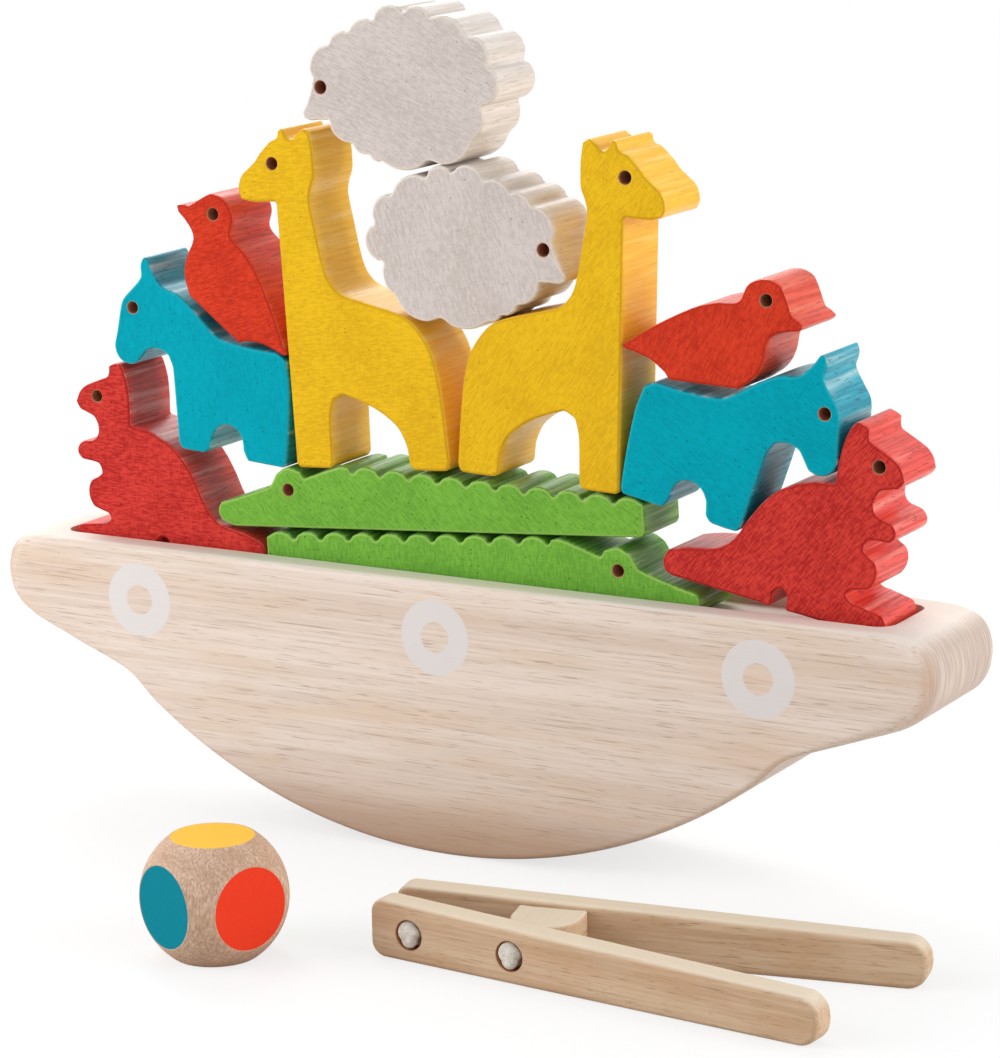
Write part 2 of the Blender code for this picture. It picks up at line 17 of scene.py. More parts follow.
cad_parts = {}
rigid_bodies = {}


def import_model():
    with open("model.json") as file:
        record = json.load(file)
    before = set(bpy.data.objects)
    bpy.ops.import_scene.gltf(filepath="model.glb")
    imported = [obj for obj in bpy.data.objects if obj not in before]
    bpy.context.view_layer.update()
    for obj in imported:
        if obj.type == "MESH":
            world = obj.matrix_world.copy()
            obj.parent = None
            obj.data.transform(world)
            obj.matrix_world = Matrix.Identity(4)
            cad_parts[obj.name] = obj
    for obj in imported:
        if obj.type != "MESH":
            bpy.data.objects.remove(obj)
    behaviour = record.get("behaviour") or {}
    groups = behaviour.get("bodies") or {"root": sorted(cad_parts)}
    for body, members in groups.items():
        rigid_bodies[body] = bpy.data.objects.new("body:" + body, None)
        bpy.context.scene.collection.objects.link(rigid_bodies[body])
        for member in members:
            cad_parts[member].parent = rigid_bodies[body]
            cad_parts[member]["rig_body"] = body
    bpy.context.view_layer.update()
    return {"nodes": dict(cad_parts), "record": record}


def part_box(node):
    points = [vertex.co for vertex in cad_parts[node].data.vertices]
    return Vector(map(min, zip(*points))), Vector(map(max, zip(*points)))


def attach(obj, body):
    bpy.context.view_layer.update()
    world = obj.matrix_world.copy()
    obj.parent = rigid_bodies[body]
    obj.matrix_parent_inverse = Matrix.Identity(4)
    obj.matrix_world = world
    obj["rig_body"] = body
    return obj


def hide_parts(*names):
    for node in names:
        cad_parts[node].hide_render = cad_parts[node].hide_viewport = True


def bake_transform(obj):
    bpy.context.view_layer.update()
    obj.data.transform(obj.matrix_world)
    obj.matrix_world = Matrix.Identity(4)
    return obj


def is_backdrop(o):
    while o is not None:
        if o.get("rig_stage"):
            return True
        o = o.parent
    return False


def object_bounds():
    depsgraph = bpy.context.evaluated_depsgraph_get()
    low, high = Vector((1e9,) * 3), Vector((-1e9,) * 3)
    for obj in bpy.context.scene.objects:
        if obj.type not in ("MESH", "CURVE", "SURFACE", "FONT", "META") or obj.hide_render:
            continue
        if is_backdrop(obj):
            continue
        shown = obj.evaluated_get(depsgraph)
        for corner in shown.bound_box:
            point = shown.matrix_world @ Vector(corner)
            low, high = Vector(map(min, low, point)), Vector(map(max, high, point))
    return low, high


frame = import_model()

MM = 0.001
WELD = 0.000002  # metres: points closer than this are one

# %% [markdown]
# ## Camera
# The picture was taken from the front right and a little above, through a long lens, so that
# lines hardly converge. The camera goes to the place that the boat's rings, the die and the
# tongs agree on. Its roll is the small sideways lean that the picture shows.

# %% Camera at the picture's place
CAMERA_PLACE = Vector((501.61, -860.96, 313.37)) * MM
CAMERA_AZIMUTH = math.radians(29.84)
CAMERA_ELEVATION = math.radians(12.90)
CAMERA_ROLL = math.radians(0.933)
SENSOR_WIDTH = 36.0
FOCAL_SHARE = 3.8135  # focal length over the picture's width


def add_object(name, data):
    """Puts a mesh, a curve, a lamp or a camera into the scene as an object at the origin."""
    added = bpy.data.objects.new(name, data)
    bpy.context.scene.collection.objects.link(added)
    return added


camera_lens = bpy.data.cameras.new("picture_camera")
camera_lens.sensor_fit = "HORIZONTAL"
camera_lens.sensor_width = SENSOR_WIDTH
camera_lens.lens = FOCAL_SHARE * SENSOR_WIDTH
camera = add_object("picture_camera", camera_lens)
swing = Matrix.Rotation(CAMERA_AZIMUTH, 4, "Z")
nod = Matrix.Rotation(math.pi / 2 - CAMERA_ELEVATION, 4, "X")
lean = Matrix.Rotation(-CAMERA_ROLL, 4, "Z")
camera.matrix_world = Matrix.Translation(CAMERA_PLACE) @ swing @ nod @ lean
bpy.context.scene.camera = camera
print("camera lens:", round(camera_lens.lens, 1), "mm")

# %% [markdown]
# ## Colours and nodes
# Colours are written as they look on a screen, in sRGB hex, and one function turns them into
# the linear values that a shader needs. A second small function adds a node: its settings are
# properties, and its wires are either plain values or the sockets that feed it. A third starts
# a material and sets the shader's own sockets.

# %% Colour and node helpers


def tint(hex_colour):
    """sRGB hex to a linear colour with full opacity, by the curve of the sRGB standard."""
    linear = []
    for start in (1, 3, 5):
        share = int(hex_colour[start:start + 2], 16) / 255
        linear.append(share / 12.92 if share <= 0.04045 else ((share + 0.055) / 1.055) ** 2.4)
    return (*linear, 1.0)


def add_node(tree, kind, wires=None, **settings):
    """Adds one shader node: settings are its properties, wires its inputs' values or sources."""
    node = tree.nodes.new("ShaderNode" + kind)
    for name, value in settings.items():
        setattr(node, name, value)
    for socket, value in (wires or {}).items():
        if isinstance(value, bpy.types.NodeSocket):
            tree.links.new(value, node.inputs[socket])
        else:
            node.inputs[socket].default_value = value
    return node


def new_material(name, **sockets):
    """A Principled material with some sockets set; gives it, its tree and its shader."""
    material = bpy.data.materials.new(name)
    material.use_nodes = True
    shader = material.node_tree.nodes["Principled BSDF"]
    for socket, value in sockets.items():
        shader.inputs[socket.replace("_", " ")].default_value = value
    return material, material.node_tree, shader


print("helpers ready, mid grey is", round(tint("#808080")[0], 3))

# %% [markdown]
# ## Stained faces
# Every animal is sawn from rubberwood so that its face is end grain: the grain runs through the
# block from front to back. The face drinks the stain, so it is matt and strong in colour, with
# fine flecks of tissue and dots where pores are cut across. A picture of wood could be laid on
# it, but noise that is stretched to millimetres stays sharp and never repeats.

# %% Stained end grain for the faces
ALONG_GRAIN = 0.03  # a pattern changes this much more slowly along the grain
FLECK_LENGTH = 2.2  # mm
FLECK_WIDTH = 0.45
CLOUDS = (0.06, 0.002, 0.06)  # per mm: patches of about 17 mm that drank more stain
TUBES = (1.0, 0.14, 1.0)  # pores are tubes along the grain
PORE_SPACING = 1.7
PORE_RADIUS = 0.30  # twice the real size, so that the dots show in a picture
PORE_DEPTH = 0.85  # how dark a pore is
EDGE_LINE = 0.6  # how much the line along the edge shows


def stained_end_grain(name, face, deep, edge, pore, open_share):
    """Faces of a block: matt stained end grain with flecks in two directions and pore dots."""
    material, tree, shader = new_material(name, Roughness=0.75, Specular_IOR_Level=0.05)
    board = add_node(tree, "Attribute", attribute_name="board").outputs["Vector"]
    layers = []
    for stretch in ((1 / FLECK_LENGTH, ALONG_GRAIN, 1 / FLECK_WIDTH),
                    (1 / FLECK_WIDTH, ALONG_GRAIN, 1 / FLECK_LENGTH), CLOUDS):
        at = add_node(tree, "VectorMath", {0: board, 1: stretch}, operation="MULTIPLY")
        noise = add_node(tree, "TexNoise", {"Vector": at.outputs[0], "Scale": 1.0, "Detail": 1.5})
        layers.append(noise.outputs[0])
    flecks = add_node(tree, "Mix", {"Factor": 0.30, 2: layers[0], 3: layers[1]})
    uneven = add_node(tree, "Mix", {"Factor": 0.25, 2: flecks.outputs[0], 3: layers[2]})
    drunk = add_node(tree, "MapRange", {"Value": uneven.outputs[0],
                                        "From Min": 0.40, "From Max": 0.60})
    stain = add_node(tree, "Mix", {"Factor": drunk.outputs[0], 6: tint(deep), 7: tint(face)},
                     data_type="RGBA")

    tubes = add_node(tree, "VectorMath", {0: board, 1: TUBES}, operation="MULTIPLY")
    cells = add_node(tree, "TexVoronoi", {"Vector": tubes.outputs[0], "Scale": 1 / PORE_SPACING})
    dot = add_node(tree, "MapRange", {"Value": cells.outputs["Distance"],
                                      "From Min": PORE_RADIUS / PORE_SPACING,
                                      "From Max": 0.4 * PORE_RADIUS / PORE_SPACING})
    chance = add_node(tree, "SeparateColor", {"Color": cells.outputs["Color"]})
    opened = add_node(tree, "Math", {0: chance.outputs["Red"], 1: open_share},
                      operation="LESS_THAN")
    dot = add_node(tree, "Math", {0: dot.outputs[0], 1: opened.outputs[0]}, operation="MULTIPLY")
    faint = add_node(tree, "Math", {0: dot.outputs[0], 1: PORE_DEPTH}, operation="MULTIPLY")
    dotted = add_node(tree, "Mix", {"Factor": faint.outputs[0], 6: stain.outputs[2],
                                    7: tint(pore)}, data_type="RGBA")

    # A thin line of another tone along the rounded edge; a pale one is partly painted highlight
    rounding = add_node(tree, "Attribute", attribute_name="edge_wear_and_sheen")
    line = add_node(tree, "Math", {0: rounding.outputs["Fac"], 1: EDGE_LINE},
                    operation="MULTIPLY")
    lined = add_node(tree, "Mix", {"Factor": line.outputs[0], 6: dotted.outputs[2],
                                   7: tint(edge)}, data_type="RGBA")
    tree.links.new(lined.outputs[2], shader.inputs["Base Color"])
    relief = add_node(tree, "Math", {0: drunk.outputs[0], 1: dot.outputs[0]},
                      operation="SUBTRACT")
    bump = add_node(tree, "Bump", {"Height": relief.outputs[0], "Strength": 0.3,
                                   "Distance": 0.04 * MM})
    tree.links.new(bump.outputs[0], shader.inputs["Normal"])
    return material


# Face, deeper stain, edge, pores, share of open pores
FACE_STAINS = {
    "kangaroo": ("#DC453C", "#B22A29", "#A32120", "#7A1719", 0.15),
    "crocodile": ("#7FBD48", "#6BA63D", "#A9CC6C", "#265C1C", 0.55),
    "giraffe": ("#F3C524", "#E0B01F", "#CFA01E", "#A87C18", 0.20),
    "donkey": ("#00ABC0", "#009CB1", "#1FB3C6", "#05606F", 0.40),
    "bird": ("#E0442B", "#C03321", "#B62B1D", "#8A2015", 0.12),
    "sheep": ("#DBD2CF", "#C8BEBA", "#F4EADD", "#8F8178", 0.12),
}
FACES = {kind: stained_end_grain(kind + "_stained_end_grain", *stain)
         for kind, stain in FACE_STAINS.items()}
print("faces:", ", ".join(FACES))

# %% [markdown]
# ## Satin sides
# The sides of a block show the same pores cut lengthwise, as dark dashes, and long pale streaks,
# partly where the stain was rubbed thin and partly painted sheen. The lacquer stays on top there
# and shines like satin. One material could switch between faces and sides, but two keep these
# two kinds of gloss simple.

# %% Satin long grain for the sides
STREAK_WIDTH = 0.8  # mm
DASH_LENGTH = 4.5
DASH_WIDTH = 0.45
DULL_STREAK = 0.46  # roughness
SHINY_STREAK = 0.30


def satin_long_grain(name, side, deep, rubbed_and_sheen, pore, rubbed_and_sheen_share):
    """Sides of a block: streaky stained long grain under satin lacquer, with pores as dashes."""
    material, tree, shader = new_material(name, Specular_IOR_Level=0.40)
    board = add_node(tree, "Attribute", attribute_name="board").outputs["Vector"]
    layers = []
    for width, length in ((STREAK_WIDTH, 30 * STREAK_WIDTH),
                          (4 * STREAK_WIDTH, 60 * STREAK_WIDTH), (DASH_WIDTH, DASH_LENGTH)):
        stretch = (1 / width, 1 / length, 1 / width)
        at = add_node(tree, "VectorMath", {0: board, 1: stretch}, operation="MULTIPLY")
        noise = add_node(tree, "TexNoise", {"Vector": at.outputs[0], "Scale": 1.0, "Detail": 2.0})
        layers.append(noise.outputs[0])
    streaks, rubs, dashes = layers
    tone = add_node(tree, "MapRange", {"Value": streaks, "From Min": 0.40, "From Max": 0.60})
    stain = add_node(tree, "Mix", {"Factor": tone.outputs[0], 6: tint(deep), 7: tint(side)},
                     data_type="RGBA")
    # Pale streaks: partly stain rubbed thin, partly painted sheen of the lacquer
    thin = add_node(tree, "MapRange", {"Value": rubs, "From Min": 0.52, "From Max": 0.72,
                                       "To Max": rubbed_and_sheen_share})
    worn_and_sheen = add_node(tree, "Mix", {"Factor": thin.outputs[0], 6: stain.outputs[2],
                                  7: tint(rubbed_and_sheen)}, data_type="RGBA")
    dash = add_node(tree, "MapRange", {"Value": dashes, "From Min": 0.60, "From Max": 0.68,
                                       "To Max": 0.7})
    wood = add_node(tree, "Mix", {"Factor": dash.outputs[0], 6: worn_and_sheen.outputs[2], 7: tint(pore)},
                    data_type="RGBA")
    tree.links.new(wood.outputs[2], shader.inputs["Base Color"])
    gloss = add_node(tree, "MapRange", {"Value": streaks, "From Min": 0.3, "From Max": 0.7,
                                        "To Min": DULL_STREAK, "To Max": SHINY_STREAK})
    tree.links.new(gloss.outputs[0], shader.inputs["Roughness"])
    relief = add_node(tree, "Math", {0: streaks, 1: dash.outputs[0]}, operation="SUBTRACT")
    bump = add_node(tree, "Bump", {"Height": relief.outputs[0], "Strength": 0.35,
                                   "Distance": 0.10 * MM})
    tree.links.new(bump.outputs[0], shader.inputs["Normal"])
    return material


# Side, deeper streaks, pale streaks of rubbed stain and painted sheen, pores, how much these show
SIDE_STAINS = {
    "kangaroo": ("#EA4A3A", "#D03C33", "#F8B8AC", "#7A1A1A", 0.45),
    "crocodile": ("#79B843", "#5A9531", "#D3E4B4", "#2C5A1C", 0.40),
    "giraffe": ("#F8C534", "#F3B928", "#FFE4A4", "#E2AC36", 0.40),
    "donkey": ("#0AA3B8", "#0589A0", "#C8E5E7", "#0A4C58", 0.60),
    "bird": ("#E44E30", "#CF3E24", "#F6A583", "#8A2015", 0.30),
    "sheep": ("#E2DAD3", "#D6CCC4", "#F6F1EC", "#C4B6A6", 0.50),
}
SIDES = {kind: satin_long_grain(kind + "_satin_long_grain", *stain)
         for kind, stain in SIDE_STAINS.items()}
print("sides:", ", ".join(SIDES))

# %% [markdown]
# ## The drilled eye
# An eye is just a hole, drilled right through the block. The stain doesn't reach into it, and
# its wall is painted dark reddish brown, as painted shade inside the hole. Its mouth is eased
# and shows a fine ring of bare pale wood. The way the surface looks tells the mouth from the
# wall, so one material does for both.

# %% Drilled wood
DRILL_RINGS = (900.0, 2600.0, 900.0)  # per metre: marks about 0.4 mm apart along the drill

drilled_wood, tree, shader = new_material("drilled_rubberwood", Roughness=0.8)
inside = add_node(tree, "TexCoord")
rings = add_node(tree, "VectorMath", {0: inside.outputs["Object"], 1: DRILL_RINGS},
                 operation="MULTIPLY")
drill_marks = add_node(tree, "TexNoise", {"Vector": rings.outputs[0], "Scale": 1.0, "Detail": 2.0})
# Painted shade: the bare wall is painted dark reddish brown, standing in for the hole's shade
shaded_wall = add_node(tree, "Mix", {"Factor": drill_marks.outputs[0], 6: tint("#8A4A34"),
                               7: tint("#C88F6C")}, data_type="RGBA")
facing = add_node(tree, "SeparateXYZ", {0: inside.outputs["Normal"]})
outward = add_node(tree, "Math", {0: facing.outputs["Y"]}, operation="ABSOLUTE")
mouth = add_node(tree, "MapRange", {"Value": outward.outputs[0], "From Min": 0.2,
                                    "From Max": 0.5, "To Max": 0.8})
lipped = add_node(tree, "Mix", {"Factor": mouth.outputs[0], 6: shaded_wall.outputs[2],
                                7: tint("#B98058")}, data_type="RGBA")
tree.links.new(lipped.outputs[2], shader.inputs["Base Color"])
print("made", drilled_wood.name)

# %% [markdown]
# ## Outlines from the frame
# Each block, each arm and the hull is a plank that was sawn along a line, so one cut through
# the middle of its solid gives that line back. The line could be typed in again as a list of
# points, but a cut with bisect_plane always agrees with the solid.

# %% Cutting outlines


def cut_loops(node, place, normal):
    """Closed outlines, longest first, where a plane cuts a CAD node."""
    shape = bmesh.new()
    shape.from_mesh(frame["nodes"][node].data)
    bmesh.ops.remove_doubles(shape, verts=shape.verts, dist=WELD)
    solid = shape.verts[:] + shape.edges[:] + shape.faces[:]
    bmesh.ops.bisect_plane(shape, geom=solid, dist=WELD, plane_co=place, plane_no=normal,
                           clear_inner=True, clear_outer=True)
    shape.verts.index_update()
    seen = set()
    loops = []
    for first in shape.verts:
        if first.index in seen or not first.link_edges:
            continue
        here = first
        edge = first.link_edges[0]
        loop = []
        while here.index not in seen:
            seen.add(here.index)
            loop.append(here.co.copy())
            here = edge.other_vert(here)
            edge = next((e for e in here.link_edges if e != edge), edge)
        loops.append(loop)
    shape.free()
    return sorted(loops, key=lambda loop: -sum((loop[i] - loop[i - 1]).length
                                               for i in range(len(loop))))


giraffe_outline = cut_loops("giraffe_left", (0.0, 0.0, 0.0), (0.0, 1.0, 0.0))[0]
print("giraffe outline:", len(giraffe_outline), "points")

# %% [markdown]
# ## Smooth outlines
# The solids have few facets. A smooth curve through their corners gives the round outline of
# the real piece, and a real corner, where the line turns sharply, is cut off a little first, so
# that it becomes a small round too. Subdividing would round everything alike; a curve can keep
# straight stretches straight.

# %% Smoothing outlines
STRAIGHT = math.radians(1.0)
FINE_TURN = math.radians(5.0)
FINEST_STEP = 0.15 * MM
LONGEST_STEP = 3.0 * MM
HANDLE_SHARE = 0.36
SAWN_CORNER = math.radians(80.0)
CORNER_EASE = 0.8 * MM
EASE_LIMIT = 0.4  # of the way to the next point


def turn_at(loop, index):
    """How far a closed outline turns at one of its points."""
    here = loop[index]
    return (here - loop[index - 1]).angle(loop[(index + 1) % len(loop)] - here, 0.0)


def smooth_outline(loop):
    """A fine outline through the points of a coarse one, with its sharp corners cut off."""
    kept = [point for index, point in enumerate(loop) if turn_at(loop, index) > STRAIGHT]
    points = []
    for index, here in enumerate(kept):
        if turn_at(kept, index) < SAWN_CORNER:
            points.append(here)
        else:
            for other in (kept[index - 1], kept[(index + 1) % len(kept)]):
                way = other - here
                points.append(here + way * min(EASE_LIMIT, CORNER_EASE / way.length))
    # A tangent leans to the longer of its two neighbours: straight stretches stay straight
    ways = []
    for index, here in enumerate(points):
        before = here - points[index - 1]
        after = points[(index + 1) % len(points)] - here
        ways.append((before * before.length_squared + after * after.length_squared).normalized())
    fine = []
    for index, here in enumerate(points):
        following = (index + 1) % len(points)
        there = points[following]
        chord = there - here
        bend = ways[index].angle(chord) + ways[following].angle(chord)
        steps = min(math.ceil(bend / FINE_TURN), math.floor(chord.length / FINEST_STEP))
        steps = max(1, steps, math.ceil(chord.length / LONGEST_STEP))
        reach = HANDLE_SHARE * chord.length
        curve = interpolate_bezier(here, here + ways[index] * reach,
                                   there - ways[following] * reach, there, steps + 1)
        fine.extend(Vector(point) for point in curve[:-1])
    return fine


print("giraffe outline, smoothed:", len(smooth_outline(giraffe_outline)), "points")

# %% [markdown]
# ## Room for rounded rims
# A tumbling drum rounds the rims of all the wooden pieces. A pointed tail has no room for the
# full radius near its tip, where a bevel would fold over itself. So each point of the outline
# first finds the largest ball that fits there, and its rounding stays well below that.

# %% Room at each point
BALL_SHARE = 0.6
ROOM_SLOPE = 0.5  # the rounding grows at most this fast along the outline


def inward_ways(loop, across):
    """At each point of a flat outline, the direction square to it that leads into the board."""
    ways = []
    turning = Vector()
    for index, here in enumerate(loop):
        before = (here - loop[index - 1]).normalized()
        after = (loop[(index + 1) % len(loop)] - here).normalized()
        ways.append(across.cross(before + after).normalized())
        turning += before.cross(after)
    return ways if turning.dot(across) > 0 else [-way for way in ways]


def rounding_room(loop, inward, radii):
    """The rounding that fits at each point: less than the ball that touches another side there."""
    room = []
    for here, way, radius in zip(loop, inward, radii):
        for there in loop:
            chord = there - here
            depth = chord.dot(way)
            if depth > WELD:
                radius = min(radius, BALL_SHARE * chord.length_squared / (2 * depth))
        room.append(radius)
    for step in (1, -1):
        for index in range(2 * len(loop))[::step]:
            here = index % len(loop)
            before = (here - step) % len(loop)
            slope = ROOM_SLOPE * (loop[here] - loop[before]).length
            room[here] = min(room[here], room[before] + slope)
    return room


square = [Vector((x * MM, 0.0, z * MM)) for x, z in ((0, 0), (9, 0), (9, 9), (0, 9))]
print("ways into a square:", len(inward_ways(square, Vector((0.0, 1.0, 0.0)))))

# %% [markdown]
# ## Sawn boards
# A board starts as its back face. Extruding that face step by step along a quarter circle, then
# straight through, then along a second quarter circle, gives a board with both rims rounded.
# One narrow extra step beside each rounding keeps flat faces flat in shading.

# %% Rounded boards
HOLD = 0.08  # width of the extra steps, as a share of the rounding
RIM_STEPS = 4


def rounded_board(loop, through, radii, segments):
    """A board round its outline's plane, with its thickness as a vector and its rims rounded."""
    across = through.normalized()
    inward = inward_ways(loop, across)
    room = rounding_room(loop, inward, radii)
    rim = [(0.0, 1.0 + HOLD)]
    for step in range(segments + 1):
        angle = math.pi / 2 * step / segments
        rim.append((1.0 - math.cos(angle), 1.0 - math.sin(angle)))
    rim.append((1.0 + HOLD, 0.0))
    shape = bmesh.new()
    place = shape.verts.layers.int.new("place")
    face = shape.faces.new([shape.verts.new(point) for point in loop])
    for index, vert in enumerate(face.verts):
        vert[place] = index
    back = [(-1, *step) for step in reversed(rim)]
    front = [(1, *step) for step in rim]
    for side, inset, depth in back + front:
        for vert in face.verts:
            index = vert[place]
            aside = inward[index] * (room[index] * inset)
            height = through.length / 2 - room[index] * depth
            vert.co = loop[index] + aside + across * side * height
        if (side, inset, depth) != front[-1]:
            around = [face] + face.edges[:] + face.verts[:]
            grown = bmesh.ops.extrude_face_region(shape, geom=around)
            face = next(part for part in grown["geom"] if isinstance(part, bmesh.types.BMFace))
    bmesh.ops.recalc_face_normals(shape, faces=shape.faces)
    return shape


sample = rounded_board(square, Vector((0.0, 5 * MM, 0.0)), [MM] * len(square), RIM_STEPS)
print("a rounded square board:", len(sample.faces), "faces,",
      round(sample.calc_volume() / MM**3, 1), "mm3")
sample.free()

# %% [markdown]
# ## Holes
# Eyes, cord holes and knot seats are bored with a bit. A Boolean could cut them, but it leaves
# slivers beside the rounded rims. Here the wall of a hole is a row of circles that are bridged,
# and the board's two flat faces are filled again round its mouths.

# %% Bored holes
HOLE_SIDES = 32


def bored(shape, across, holes, slot):
    """Bores holes through a board: each is a middle, an axis, and steps of depth and radius."""
    mouths = []
    for middle, axis, steps in holes:
        turn = axis.to_track_quat("Z", "Y").to_matrix().to_4x4()
        rings = []
        for depth, radius in steps:
            made = bmesh.ops.create_circle(shape, segments=HOLE_SIDES, radius=radius,
                                           matrix=Matrix.Translation(middle + axis * depth) @ turn)
            rings.append(list({edge for vert in made["verts"] for edge in vert.link_edges}))
        for ring, following in zip(rings, rings[1:]):
            for face in bmesh.ops.bridge_loops(shape, edges=ring + following)["faces"]:
                face.material_index = slot
        mouths.append((rings[0], axis * -1))
        mouths.append((rings[-1], axis))
    for way in (across, -across):
        flat = max(shape.faces, key=lambda face: face.normal.dot(way) * face.calc_area())
        edges = flat.edges[:]
        bmesh.ops.delete(shape, geom=[flat], context="FACES_ONLY")
        for ring, side in mouths:
            if side.dot(way) > 0:
                edges += ring
        bmesh.ops.triangle_fill(shape, use_beauty=True, use_dissolve=True, normal=way, edges=edges)
    bmesh.ops.recalc_face_normals(shape, faces=shape.faces)


print("holes have", HOLE_SIDES, "sides")

# %% [markdown]
# ## Pieces in place
# A bmesh becomes an object whose place is already in its mesh, so the object itself stays at
# the origin. Each piece also carries its own board coordinates in millimetres, which the wood
# reads, so that the grain follows the board when it leans. Last, the piece takes the place of
# its solid and rides on the same body.

# %% Helpers for pieces
SOFT_TURN = math.radians(35.0)


def new_piece(name, shape, materials):
    """Turns a bmesh into an object at the origin."""
    mesh = bpy.data.meshes.new(name)
    shape.to_mesh(mesh)
    shape.free()
    for material in materials:
        mesh.materials.append(material)
    return add_object(name, mesh)


def apply_modifiers(piece):
    """Makes a piece's modifiers part of its mesh."""
    bpy.context.view_layer.update()
    ready = piece.evaluated_get(bpy.context.evaluated_depsgraph_get())
    mesh = bpy.data.meshes.new_from_object(ready)
    old = piece.data
    piece.modifiers.clear()
    piece.data = mesh
    mesh.name = piece.name
    bpy.data.meshes.remove(old)


def finished(piece, axes, node):
    """Shades a piece, writes its board coordinates in mm, and puts it in place of its node."""
    mesh = piece.data
    mesh.shade_smooth()
    mesh.set_sharp_from_angle(angle=SOFT_TURN)
    board = mesh.attributes.new("board", "FLOAT_VECTOR", "POINT")
    local = Matrix(axes)
    for vert, value in zip(mesh.vertices, board.data):
        value.vector = local @ vert.co / MM
    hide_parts(node)
    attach(piece, frame["nodes"][node]["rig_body"])


print("soft edges turn less than", round(math.degrees(SOFT_TURN)), "degrees")

# %% [markdown]
# ## Animal blocks
# The twelve animals differ only in outline, stain and place, so one loop makes them all. Each
# gets its grain turned by its own angle, because no two were sawn alike from the plank. The eye
# is a small closed loop inside the cut, and a hole through the board goes there.
# Last, each polygon gets the face or the side material by the way it looks, and the points on
# the rounded rims are marked for the line along the edge.

# %% Twelve animals
BLOCK_ROUNDING = 0.9 * MM
EYE_FLARE = 0.18 * MM
GRAIN_TURN = math.radians(47.0)
ACROSS = Vector((0.0, 1.0, 0.0))
SIDE_LOOK = 0.7  # a polygon that looks less than this to the front is a side
EDGE_MARK_SHARE = 0.95  # of the rounding is marked as edge

blocks = [part for part in frame["record"]["subparts"] if part["material_slot"] in FACES]
for number, part in enumerate(blocks):
    node = part["node"]
    slot = part["material_slot"]
    low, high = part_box(node)
    middle = (low + high) / 2
    half = (high.y - low.y) / 2
    outline, eye = cut_loops(node, middle, ACROSS)[:2]
    centre = sum(eye, Vector()) / len(eye)
    radius = (eye[0] - centre).length
    loop = smooth_outline(outline)
    beside_eye = [(point - centre).length - radius - EYE_FLARE for point in loop]
    radii = [min(BLOCK_ROUNDING, BALL_SHARE * gap) for gap in beside_eye]
    board = rounded_board(loop, ACROSS * 2 * half, radii, RIM_STEPS)
    steps = [(-half, radius + EYE_FLARE), (EYE_FLARE - half, radius),
             (half - EYE_FLARE, radius), (half, radius + EYE_FLARE)]
    bored(board, ACROSS, [(centre, ACROSS, steps)], 2)
    block = new_piece(node + "_block", board, [FACES[slot], SIDES[slot], drilled_wood])
    mesh = block.data
    for polygon in mesh.polygons:
        if polygon.material_index == 0 and abs(polygon.normal.y) < SIDE_LOOK:
            polygon.material_index = 1
    # The rounded rims carry the edge line, which is partly painted highlight where it is pale
    edge_wear_and_sheen = mesh.attributes.new("edge_wear_and_sheen", "FLOAT", "POINT")
    for vert, edge_mark in zip(mesh.vertices, edge_wear_and_sheen.data):
        depth = half - abs(vert.co.y - middle.y)
        edge_mark.value = 1.0 if WELD < depth < EDGE_MARK_SHARE * BLOCK_ROUNDING else 0.0
    finished(block, Matrix.Rotation(GRAIN_TURN * number, 3, "Y"), node)
    print(block.name, len(mesh.polygons), "faces")

# %% [markdown]
# ## Plain wood
# The boat, the die and the tongs are left unstained. Rubberwood is pale, with a pinkish cast:
# soft bands, some warmer patches, and pores cut lengthwise that show as fine dark dashes. Where
# the ends are cut across the grain it is greyer, with fine lines. All of these are the same
# noise, stretched to a length and a width in millimetres, so a small table describes the wood.

# %% Clear rubberwood
WOOD_LAYERS = {  # along the grain, across it, and through the plank, in mm
    "bands": (300.0, 6.0, 6.0),
    "streaks": (60.0, 0.9, 0.9),
    "patches": (45.0, 9.0, 9.0),
    "long_dashes": (26.0, 0.50, 0.50),
    "short_dashes": (9.0, 0.38, 0.38),
    "end_lines": (14.0, 0.6, 14.0),
}


